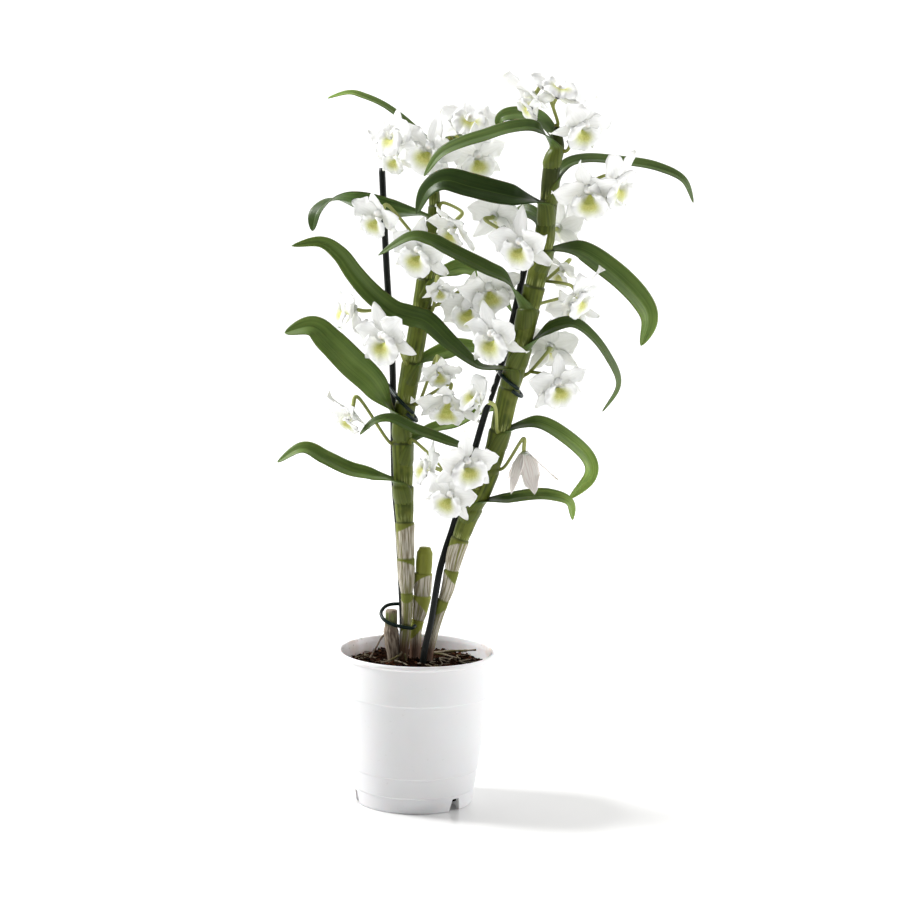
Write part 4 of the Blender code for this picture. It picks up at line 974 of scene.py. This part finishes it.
def to_place(points, middle, faces, lean):
    """Turn points made facing +Z, top at +Y, to face their way, lean, and stand at their middle."""
    ahead = unit(faces)
    up = np.array([0, 0, 1.0]) - ahead * ahead[2]
    up = unit(up) if np.linalg.norm(up) > 0.05 else np.array([0, 1.0, 0])
    side = np.cross(up, ahead)
    angle = math.radians(lean)
    top = up * math.cos(angle) + side * math.sin(angle)
    return points @ np.array([np.cross(top, ahead), top, ahead]) + np.asarray(middle, float)


print("skins of one bloom:", len(bloom_skins("F01")))

# %% [markdown]
# ## Petal finish
# Petals are white because they are full of air, and light goes some way in before it comes out. A
# little subsurface light does that. Fine veins run outwards, the throat is yellow-green, the tip of
# the column is brown, and a wilted bloom turns papery and faintly pink.

# %% Petal material and pieces


def petal_finish():
    """White with faint veins, and the throat's colours by marks."""
    f = Finish("petal_skin", Roughness=0.55, Specular_IOR_Level=0.25, Subsurface_Weight=0.4,
               Subsurface_Scale=0.004, Sheen_Weight=0.05)
    f.shader.inputs["Subsurface Radius"].default_value = (1.0, 0.95, 0.85)
    across, along = f.mark("across"), f.mark("along")
    vein = f.grain(across, along, 9.0, 1.6)
    white = f.mix(f.steps(vein, 0.36, 0.62), (0.87, 0.875, 0.855), (0.93, 0.935, 0.92))
    colour = f.mix(f.mark("green"), white, (0.34, 0.40, 0.14))
    mottle = f.noise(f.place(), 900.0, 3.0)
    inner = f.mix(f.steps(mottle, 0.3, 0.7), (0.43, 0.46, 0.09), (0.56, 0.59, 0.17))
    colour = f.mix(f.mark("throat"), colour, inner)
    colour = f.mix(f.mark("blush"), colour, (0.45, 0.27, 0.17))
    faded = f.mix(f.steps(vein, 0.4, 0.6), (0.66, 0.50, 0.45), (0.86, 0.80, 0.73))
    f.colour(f.mix(f.times(f.mark("old"), 0.65), colour, faded))
    f.bump(vein, 0.25, 0.0005)
    return f.material


PETAL_SKIN = petal_finish()


def spray_stalks(cane, first, second, height):
    """A spray's forked stalk, from its cane's skin."""
    end = stalk_end(first, 1.0)
    start = stalk_start(cane, height, end[0])
    fork = [start[1], *stalk_end(second, 1.0)]
    return [stalk_skin([*start, *end]), stalk_skin(fork, bract=0.0)]


for cane, blooms in SINGLE_BLOOMS.items():
    for bloom, _ in blooms:
        number = bloom[1:]
        make_piece(f"flower_{number}", bloom_skins(bloom), PETAL_SKIN, "petal", f"bloom_{number}")
for cane, sprays in SPRAYS.items():
    for first, second, height in sprays:
        label = f"{first[1:]}_{second[1:]}"
        pair = bloom_skins(first) + bloom_skins(second)
        stalks = spray_stalks(cane, first, second, height)
        make_piece(f"flowers_{label}", pair, PETAL_SKIN, "petal", f"spray_{label}")
        make_piece(f"flower_stalks_{label}", stalks, CANE_SKIN, "cane")
print("blooms:", len(BLOOMS))

# %% [markdown]
# ## Stakes and ties
# The stakes are grooved plastic rods, nearly black. The ties are wire in a soft dark green coat. Both
# are tubes. The upper ties follow the outline of a cane and its stake together, swept by angle, and
# the one at the foot passes through points of its own.

# %% Stakes and ties
STAKE_RADIUS = 2.6
WIRE_RADIUS = 1.4
STAKES = {
    "left": ((-11, 11, 88), (-11, 11, 120), (-12, 12, 152), (-16, 15, 210), (-20, 17, 253),
             (-23, 24, 337), (-29, 28, 413), (-34, 34, 488)),
    "right": ((3, -12, 92), (6.5, -12, 123), (11, -11.5, 145), (16, -8.5, 180), (21, -4.5, 200),
              (26, -2, 216), (35, -1, 251), (48, -2, 302), (62, -3, 349), (78, -4, 426)),
}
FOOT_TIE = ((-8, 17, 150.5), (-16, 16.7, 151.5), (-24, 11, 151), (-28, 4, 147), (-25.5, -3.2, 143),
            (-19, -5.8, 140), (-9.5, -5.4, 137.8), (-4, -4.7, 137.2), (-1.4, -1.2, 138.4))


def plastic_finish(name, colour, worn, roughness):
    """Dark extruded plastic with faint scuffs."""
    f = Finish(name, Roughness=roughness, Specular_IOR_Level=0.25)
    scuff = f.noise(f.place(), 220.0, 4.0)
    f.colour(f.mix(f.steps(scuff, 0.52, 0.78), colour, worn))
    f.bump(scuff, 0.25, 0.0002)
    return f.material


def stake_skin(line):
    """A rod with four faint grooves along it and a slightly rounded top."""
    path = smooth_path(line, 160)
    angle = ring_angles(32)
    s = np.linspace(0, 1, 160)[:, None]
    radius = STAKE_RADIUS * (1 - 0.05 * np.exp(-((np.sin(2 * angle) / 0.25) ** 2)))
    return skin(tube(path, radius * (1 - 0.15 * ease(s, 0.997, 1.0)), 32))


def loop_round(cane, stake, height, slope, first, last, count):
    """A wire laid round a cane and its stake: the outline of both circles, swept by angle.

    For each angle the point is on the circle that reaches furthest that way. The height falls
    with x by the slope, and climbs over the turn so that the wire's ends pass.
    """
    clearance = WIRE_RADIUS + GAP + 0.25
    rod_line = smooth_path(stake, 300)
    angle = np.radians(np.linspace(first, last, count))
    way = np.stack([np.cos(angle), np.sin(angle)], -1)
    climb = 3.4 * WIRE_RADIUS * (angle - angle[0]) / (2 * np.pi)
    z = height + climb
    level = cane_centre(cane, np.array([height]))[0, 0]
    for _ in range(3):
        centre = cane_centre(cane, z)[:, :2]
        rod = at_heights(rod_line, z)[:, :2]
        reaches = np.stack([(way * centre).sum(1) + cane_radius(cane, z) * 1.05 + clearance,
                            (way * rod).sum(1) + STAKE_RADIUS * 1.05 + clearance])
        nearer = (reaches[0] > reaches[1])[:, None]
        middle = np.where(nearer, centre, rod)
        place = middle + way * (reaches.max(0) - (way * middle).sum(1))[:, None]
        z = height - slope * (place[:, 0] - level) + climb
    return np.concatenate([place, z[:, None]], axis=1)


STAKE_SKIN = plastic_finish("stake_skin", (0.004, 0.006, 0.005), (0.018, 0.022, 0.02), 0.36)
WIRE_SKIN = plastic_finish("wire_coat", (0.002, 0.012, 0.009), (0.006, 0.024, 0.018), 0.4)
for side, line in STAKES.items():
    make_piece(f"{side}_stake", [stake_skin(line)], STAKE_SKIN, "stake_plastic", f"stake_{side}")
wires = {"left": smooth_path(loop_round("left", STAKES["left"], 305.0, 1.0, -80, 310, 40), 120),
         "right": smooth_path(loop_round("right", STAKES["right"], 328.0, 0.85, -80, 310, 40), 120),
         "foot": smooth_path(FOOT_TIE, 90)}
for (place, wire), node in zip(wires.items(), ("tie_left", "tie_right", "tie_base")):
    loop = skin(tube(wire, np.full(len(wire), WIRE_RADIUS), 14))
    make_piece(f"{place}_tie", [loop], WIRE_SKIN, "tie_wire", node)
print("ties:", ", ".join(wires))

# %% [markdown]
# ## The pot
# A thin moulded pot is a turned shape: its section, from the floor's middle up the inside, over the
# rolled rim and down the outside, is carried round. Each corner in the section is swapped for a short
# curve. The three notches in the foot are cut with a Boolean, which is applied at once.

# %% Pot shape
FLOOR_TOP = 6.0
NOTCHES = (45, 165, -75)
POT_SECTION = ((0.02, 6), (41.5, 6), (43, 7.5), (54.9, 86), (57, 115), (58, 118.4), (58.8, 119),
               (59.6, 119), (60.3, 118), (60.3, 115.8), (59.1, 115), (57.4, 87), (56.7, 86),
               (49.6, 28.4), (49, 27.6), (47.2, 12.8), (46.4, 12), (45, 0.8), (44.2, 0), (42, 0),
               (41, 3.5), (17, 3.5), (16, 0), (0.02, 0))


def rounded_section(points, radius, steps):
    """The section with each corner swapped for a short curve, cut back by the radius at most."""
    known = np.asarray(points, float)
    rounded = [known[:1]]
    for before, corner, after in zip(known, known[1:], known[2:]):
        sides = np.linalg.norm([before - corner, after - corner], axis=1)
        reach = min(radius, 0.45 * sides.min())
        start = corner + unit(before - corner) * reach
        end = corner + unit(after - corner) * reach
        t = np.linspace(0, 1, steps)[:, None]
        rounded.append((1 - t) ** 2 * start + 2 * t * (1 - t) * corner + t**2 * end)
    return np.concatenate([*rounded, known[-1:]])


def pot_rings(around):
    """The section carried round: x = r cos angle, y = r sin angle, and one ring for each point."""
    section = rounded_section(POT_SECTION, 0.9, 5)
    angle = ring_angles(around)
    r, z = section[:, :1], section[:, 1:]
    return np.stack([r * np.cos(angle), r * np.sin(angle), z + 0 * angle], axis=-1), section


def pot_finish():
    """White moulded plastic: soft gloss, faint cloudiness, and specks of soil inside the rim."""
    f = Finish("pot_plastic", Roughness=0.3, Subsurface_Weight=0.08, Subsurface_Scale=0.004)
    cloud = f.noise(f.place(), 18.0)
    white = f.mix(cloud, (0.775, 0.775, 0.79), (0.825, 0.825, 0.835))
    specks = f.steps(f.noise(f.place(), 330.0, 2.0), 0.69, 0.74)
    grime = f.steps(f.noise(f.place(), 45.0, 4.0), 0.42, 0.75)
    inner = f.mark("inside")
    white = f.mix(f.times(inner, f.times(grime, 0.6)), white, (0.48, 0.36, 0.27))
    soil = f.times(specks, f.sums("ADD", f.times(inner, 0.95), 0.06))
    f.colour(f.mix(soil, white, (0.10, 0.05, 0.03)))
    f.put(f.shader.inputs["Roughness"], f.steps(cloud, -0.9, 2.3))
    return f.material


def cut_notches(pot):
    """Cut the three tapered notches out of the foot and keep the result as the pot's mesh."""
    wide, narrow, high = 6.0, 2.5, 10.0
    for angle in NOTCHES:
        t = np.linspace(0, 1, 6)[:, None]
        shoulder = [-narrow - 0.9, high - 0.4] + t * [0.9, 0.4]
        left = np.concatenate([[[-wide, -2.0]], shoulder])
        outline = np.concatenate([left, left[::-1] * [-1, 1]])
        depth = np.array([-56.0, -34.0])[:, None]
        rings = np.stack([outline[None, :, 0] + 0 * depth, depth + 0 * outline[None, :, 0],
                          outline[None, :, 1] + 0 * depth], axis=-1)
        turn = np.array(Matrix.Rotation(math.radians(angle), 3, "Z"))
        rings = rings @ turn.T
        cutter = make_mesh("notch", [skin(rings)])
        cut = pot.modifiers.new("notch", "BOOLEAN")
        cut.object, cut.operation, cut.solver = cutter, "DIFFERENCE", "EXACT"
        bpy.context.view_layer.update()
        worked_out = pot.evaluated_get(bpy.context.evaluated_depsgraph_get())
        carved = bpy.data.meshes.new_from_object(worked_out)
        pot.modifiers.clear()
        pot.data = carved
        bpy.data.objects.remove(cutter, do_unlink=True)


def make_pot():
    """The pot's mesh with its marks, its notches and its finish."""
    rings, section = pot_rings(144)
    inside = np.arange(len(section)) < np.argmax(section[:, 1])
    pot = make_mesh("white_pot", [skin(rings, inside=inside.astype(float)[:, None])])
    cut_notches(pot)
    pot.data.set_sharp_from_angle(angle=math.radians(35))
    settle(pot, pot_finish(), "white_plastic", "pot")
    return pot


pot = make_pot()
print("pot faces:", len(pot.data.polygons))

# %% [markdown]
# ## Bark mix
# The mix is dark crumbs with reddish bark chips on top. A rough mound fills the pot, and more than a
# thousand chips lie on it: each is a box whose corners a seeded draw moves, so all differ. They are
# placed and turned as whole arrays, and thin rootlets lie over them.

# %% Mound of the mix
MIX_HEIGHT = 107.0
CHIP_COUNT = 1300


def mix_top(x, y):
    """Height of the mix: a low mound with crossing waves for the lumps of bark."""
    r = np.hypot(x, y)
    lumps = 0.9 * np.sin(0.37 * x + 1.1) * np.cos(0.33 * y) + 0.6 * np.sin(0.21 * y - 0.29 * x)
    return MIX_HEIGHT + 2.0 * (1 - (r / 56) ** 2) + lumps


def mix_rings(around):
    """The mound: rings from its middle out, then down inside the pot's wall and in at the floor."""
    radii = np.concatenate([np.linspace(0.05, 54.8, 48), [42.5, 41.0, 0.05]])
    angle = ring_angles(around)
    x, y = radii[:, None] * np.cos(angle), radii[:, None] * np.sin(angle)
    crumbs = 0.55 * np.sin(1.7 * x + 2 * np.sin(0.9 * y)) * np.sin(1.9 * y + 2 * np.sin(0.7 * x))
    z = mix_top(x, y) + crumbs
    z[-3:] = np.array([FLOOR_TOP + 2.0, FLOOR_TOP + GAP, FLOOR_TOP + GAP])[:, None]
    return np.stack([x, y, z], axis=-1)


print("the mix is", round(float(mix_top(0.0, 0.0)), 1), "mm high in the middle")

# %% [markdown]
# ## Chips and threads
# Chips are plain boxes, so that over a thousand of them stay light, and the sharp edges suit bark. A
# thread is a thin tube through six drawn points: the first in the mound, the others just above it.

# %% Chips, threads and the mix's pieces


def chip_points(count, draw):
    """Corners of the chips, (count, 8, 3): flat boxes with moved corners, turned and placed."""
    box = np.array([[x, y, z] for x in (-1, 1) for y in (-1, 1) for z in (-1, 1)], float)
    size = draw.uniform((1.2, 0.7, 0.35), (4.6, 2.0, 0.9), (count, 3))
    size = size * draw.uniform(0.5, 1.0, (count, 1))
    corners = (box + draw.normal(0, 0.22, (count, 8, 3))) * size[:, None]
    turn = draw.uniform(0, 2 * np.pi, count)
    tilt, roll = draw.normal(0, 0.35, count), draw.normal(0, 0.4, count)
    (ct, cl, cr), (st, sl, sr) = np.cos([turn, tilt, roll]), np.sin([turn, tilt, roll])
    zero, one = np.zeros(count), np.ones(count)
    about_z = np.array([[ct, -st, zero], [st, ct, zero], [zero, zero, one]])
    about_y = np.array([[cl, zero, sl], [zero, one, zero], [-sl, zero, cl]])
    about_x = np.array([[one, zero, zero], [zero, cr, -sr], [zero, sr, cr]])
    corners = np.einsum("abn,bcn,cdn,nkd->nka", about_z, about_y, about_x, corners)
    reach, angle = 49.0 * np.sqrt(draw.uniform(0, 1, count)), draw.uniform(0, 2 * np.pi, count)
    x, y = reach * np.cos(angle), reach * np.sin(angle)
    return corners + np.stack([x, y, mix_top(x, y) + draw.uniform(-0.2, 1.4, count)], -1)[:, None]


def bark_finish():
    """Dark brown crumbs, with chips from black to reddish brown by their own tone."""
    f = Finish("bark_mix_skin", Roughness=0.95, Specular_IOR_Level=0.04)
    grain = f.noise(f.place(), 420.0, 6.0)
    dark = f.mix(f.steps(grain, 0.35, 0.65), (0.001, 0.0006, 0.0004), (0.012, 0.006, 0.003))
    red = f.mix(f.steps(grain, 0.35, 0.65), (0.024, 0.008, 0.004), (0.11, 0.040, 0.016))
    f.colour(f.mix(f.mark("tone"), dark, red))
    f.bump(grain, 1.0, 0.0012)
    return f.material


def fibre_skin(draw, where, length, thickness, **marks):
    """A thin thread that starts in the mix and wanders just above it."""
    steps = unit(draw.normal(0, 1, 2)) * length / 5 + draw.normal(0, 0.16 * length, (5, 2))
    flat = np.asarray(where) + np.concatenate([np.zeros((1, 2)), np.cumsum(steps, axis=0)])
    flat = flat * np.minimum(1, 50.0 / np.maximum(np.linalg.norm(flat, axis=1), 1))[:, None]
    lift = 0.5 + draw.uniform(0.4, 2.4, 6)
    lift[0] = -1.0
    count = 10 + int(length / 2)
    path = smooth_path(np.column_stack([flat, mix_top(flat[:, 0], flat[:, 1]) + lift]), count)
    knots = 1 + 0.12 * np.sin(np.arange(count) * 1.3)
    radii = thickness * (1 - 0.6 * np.linspace(0, 1, count)) * knots
    return skin(tube(path, radii, 8 if thickness > 0.3 else 4), **marks)


def scattered(draw, reach):
    """A random place on the mix, even over its disc."""
    r, angle = reach * math.sqrt(draw.uniform()), draw.uniform(0, 2 * math.pi)
    return r * math.cos(angle), r * math.sin(angle)


def make_mix():
    """The mound with its chips and threads, and the pale roots that lie over them."""
    draw = np.random.default_rng(11)
    corners = chip_points(CHIP_COUNT, draw)
    tones = draw.uniform(0, 1, CHIP_COUNT) ** 2.5
    rings = corners[:, [0, 1, 3, 2, 4, 5, 7, 6]].reshape(-1, 2, 4, 3)
    chips = [skin(chip, tone=tone) for chip, tone in zip(rings, tones)]
    threads = [fibre_skin(draw, scattered(draw, 47), draw.uniform(8, 24), 0.16,
                          tone=draw.uniform(0.1, 0.8)) for _ in range(320)]
    make_piece("bark_mix", [skin(mix_rings(120)), *chips, *threads], BARK_SKIN, "bark_mix",
               "potting_mix", sharp=40)
    roots = [fibre_skin(draw, scattered(draw, 36), draw.uniform(18, 40), draw.uniform(0.5, 0.95),
                        rust=0.45, sheath=0.75) for _ in range(20)]
    make_piece("pale_roots", roots, CANE_SKIN, "cane")


BARK_SKIN = bark_finish()
make_mix()

# %% [markdown]
# ## Floor and light
# The portrait is a high-key one: a white floor with a faint shine, soft light that is stronger behind
# than in front, and one bright lamp high at the left, which throws the pot's soft shadow to the right.
# A wide lamp at the right softens the shaded side. Near the pot the floor's colour is painted a little
# darker, a painted shade under the pot that also lets the pot's reflection show. Further out it glows,
# so that it stays white from every side.

# %% Floor


def floor_finish():
    """A white floor with a soft shine, painted a little darker at the pot as shade, and brighter further
    out.
    """
    f = Finish("studio_floor", Roughness=0.16, Specular_IOR_Level=0.5)
    f.shader.inputs["Emission Color"].default_value = (1.0, 1.0, 1.0, 1.0)
    length = f.add("ShaderNodeVectorMath", {"operation": "LENGTH"}, Vector=f.place())
    distance = length.outputs["Value"]
    # Painted shade: the floor's colour darkens within about 0.15 m of the pot's middle.
    f.colour(f.mix(f.steps(distance, 0.05, 0.15), (0.80, 0.80, 0.795), (0.87, 0.87, 0.86)))
    glow = f.sums("ADD", f.times(f.steps(distance, 0.2, 0.8), 0.5), 0.04)
    f.put(f.shader.inputs["Emission Strength"], glow)
    return f.material


def make_floor():
    """A large round floor at the pot's foot."""
    radii = np.array([0.001, 0.5, 2.0, 8.0, 40.0])[:, None] * 1000
    angle = ring_angles(64)
    top = np.stack([radii * np.cos(angle), radii * np.sin(angle), 0 * radii * angle - 0.05], axis=-1)
    floor = make_mesh("floor", [skin(np.concatenate([top, top[::-1] - (0, 0, 5.0)]))])
    floor.data.materials.append(floor_finish())
    floor.data.set_sharp_from_angle(angle=math.radians(30))


make_floor()

# %% Light


def add_light(name, place, aim, size, power):
    """A square area light at a place, turned to its aim."""
    lamp = bpy.data.lights.new(name, "AREA")
    lamp.size, lamp.energy = size, power
    thing = bpy.data.objects.new(name, lamp)
    thing.location = place
    thing.rotation_euler = (Vector(aim) - Vector(place)).to_track_quat("-Z", "Y").to_euler()
    bpy.context.scene.collection.objects.link(thing)


def make_world(front, back):
    """A white surround that grows brighter from the front to the back of the studio."""
    world = bpy.data.worlds.new("studio")
    world.use_nodes = True
    tree = world.node_tree
    background = tree.nodes["Background"]
    background.inputs["Color"].default_value = (1.0, 0.995, 0.99, 1.0)
    way = tree.nodes.new("ShaderNodeTexCoord")
    parts = tree.nodes.new("ShaderNodeSeparateXYZ")
    spread = tree.nodes.new("ShaderNodeMapRange")
    spread.interpolation_type = "SMOOTHSTEP"
    for socket, value in zip(spread.inputs[1:5], (-0.8, 0.6, front, back)):
        socket.default_value = value
    tree.links.new(way.outputs["Generated"], parts.inputs[0])
    tree.links.new(parts.outputs["Y"], spread.inputs["Value"])
    tree.links.new(spread.outputs["Result"], background.inputs["Strength"])
    bpy.context.scene.world = world


make_world(front=0.205, back=1.0)
add_light("key", (-1.6, 0.37, 1.75), (0, 0, 0.25), 0.55, 62.0)
add_light("fill", (2.2, 0.1, 0.7), (0, 0, 0.25), 1.6, 29.0)
print("lamps:", [lamp.name for lamp in bpy.data.lights])

# %% [markdown]
# ## Camera
# The picture was taken with a long lens from a little above the blooms. A long lens far away keeps the
# pot's rim a flat oval and the canes nearly parallel.

# %% Camera
FOCAL_LENGTH = 132.36
CAMERA_PLACE = (0.0226, -2.5, 0.68)
CAMERA_PITCH = 9.18
CAMERA_ROLL = 1.2


def make_camera():
    """A long lens 2.5 m away, a little above the blooms, tipped down and turned by its roll."""
    lens_data = bpy.data.cameras.new("camera")
    lens_data.lens = FOCAL_LENGTH
    lens_data.sensor_width = 36.0
    camera = bpy.data.objects.new("camera", lens_data)
    camera.matrix_world = (Matrix.Translation(CAMERA_PLACE)
                           @ Matrix.Rotation(math.radians(90 - CAMERA_PITCH), 4, "X")
                           @ Matrix.Rotation(math.radians(CAMERA_ROLL), 4, "Z"))
    bpy.context.scene.collection.objects.link(camera)
    bpy.context.scene.camera = camera


make_camera()
bpy.context.scene.view_settings.view_transform = "Standard"
print("lens:", FOCAL_LENGTH, "mm")
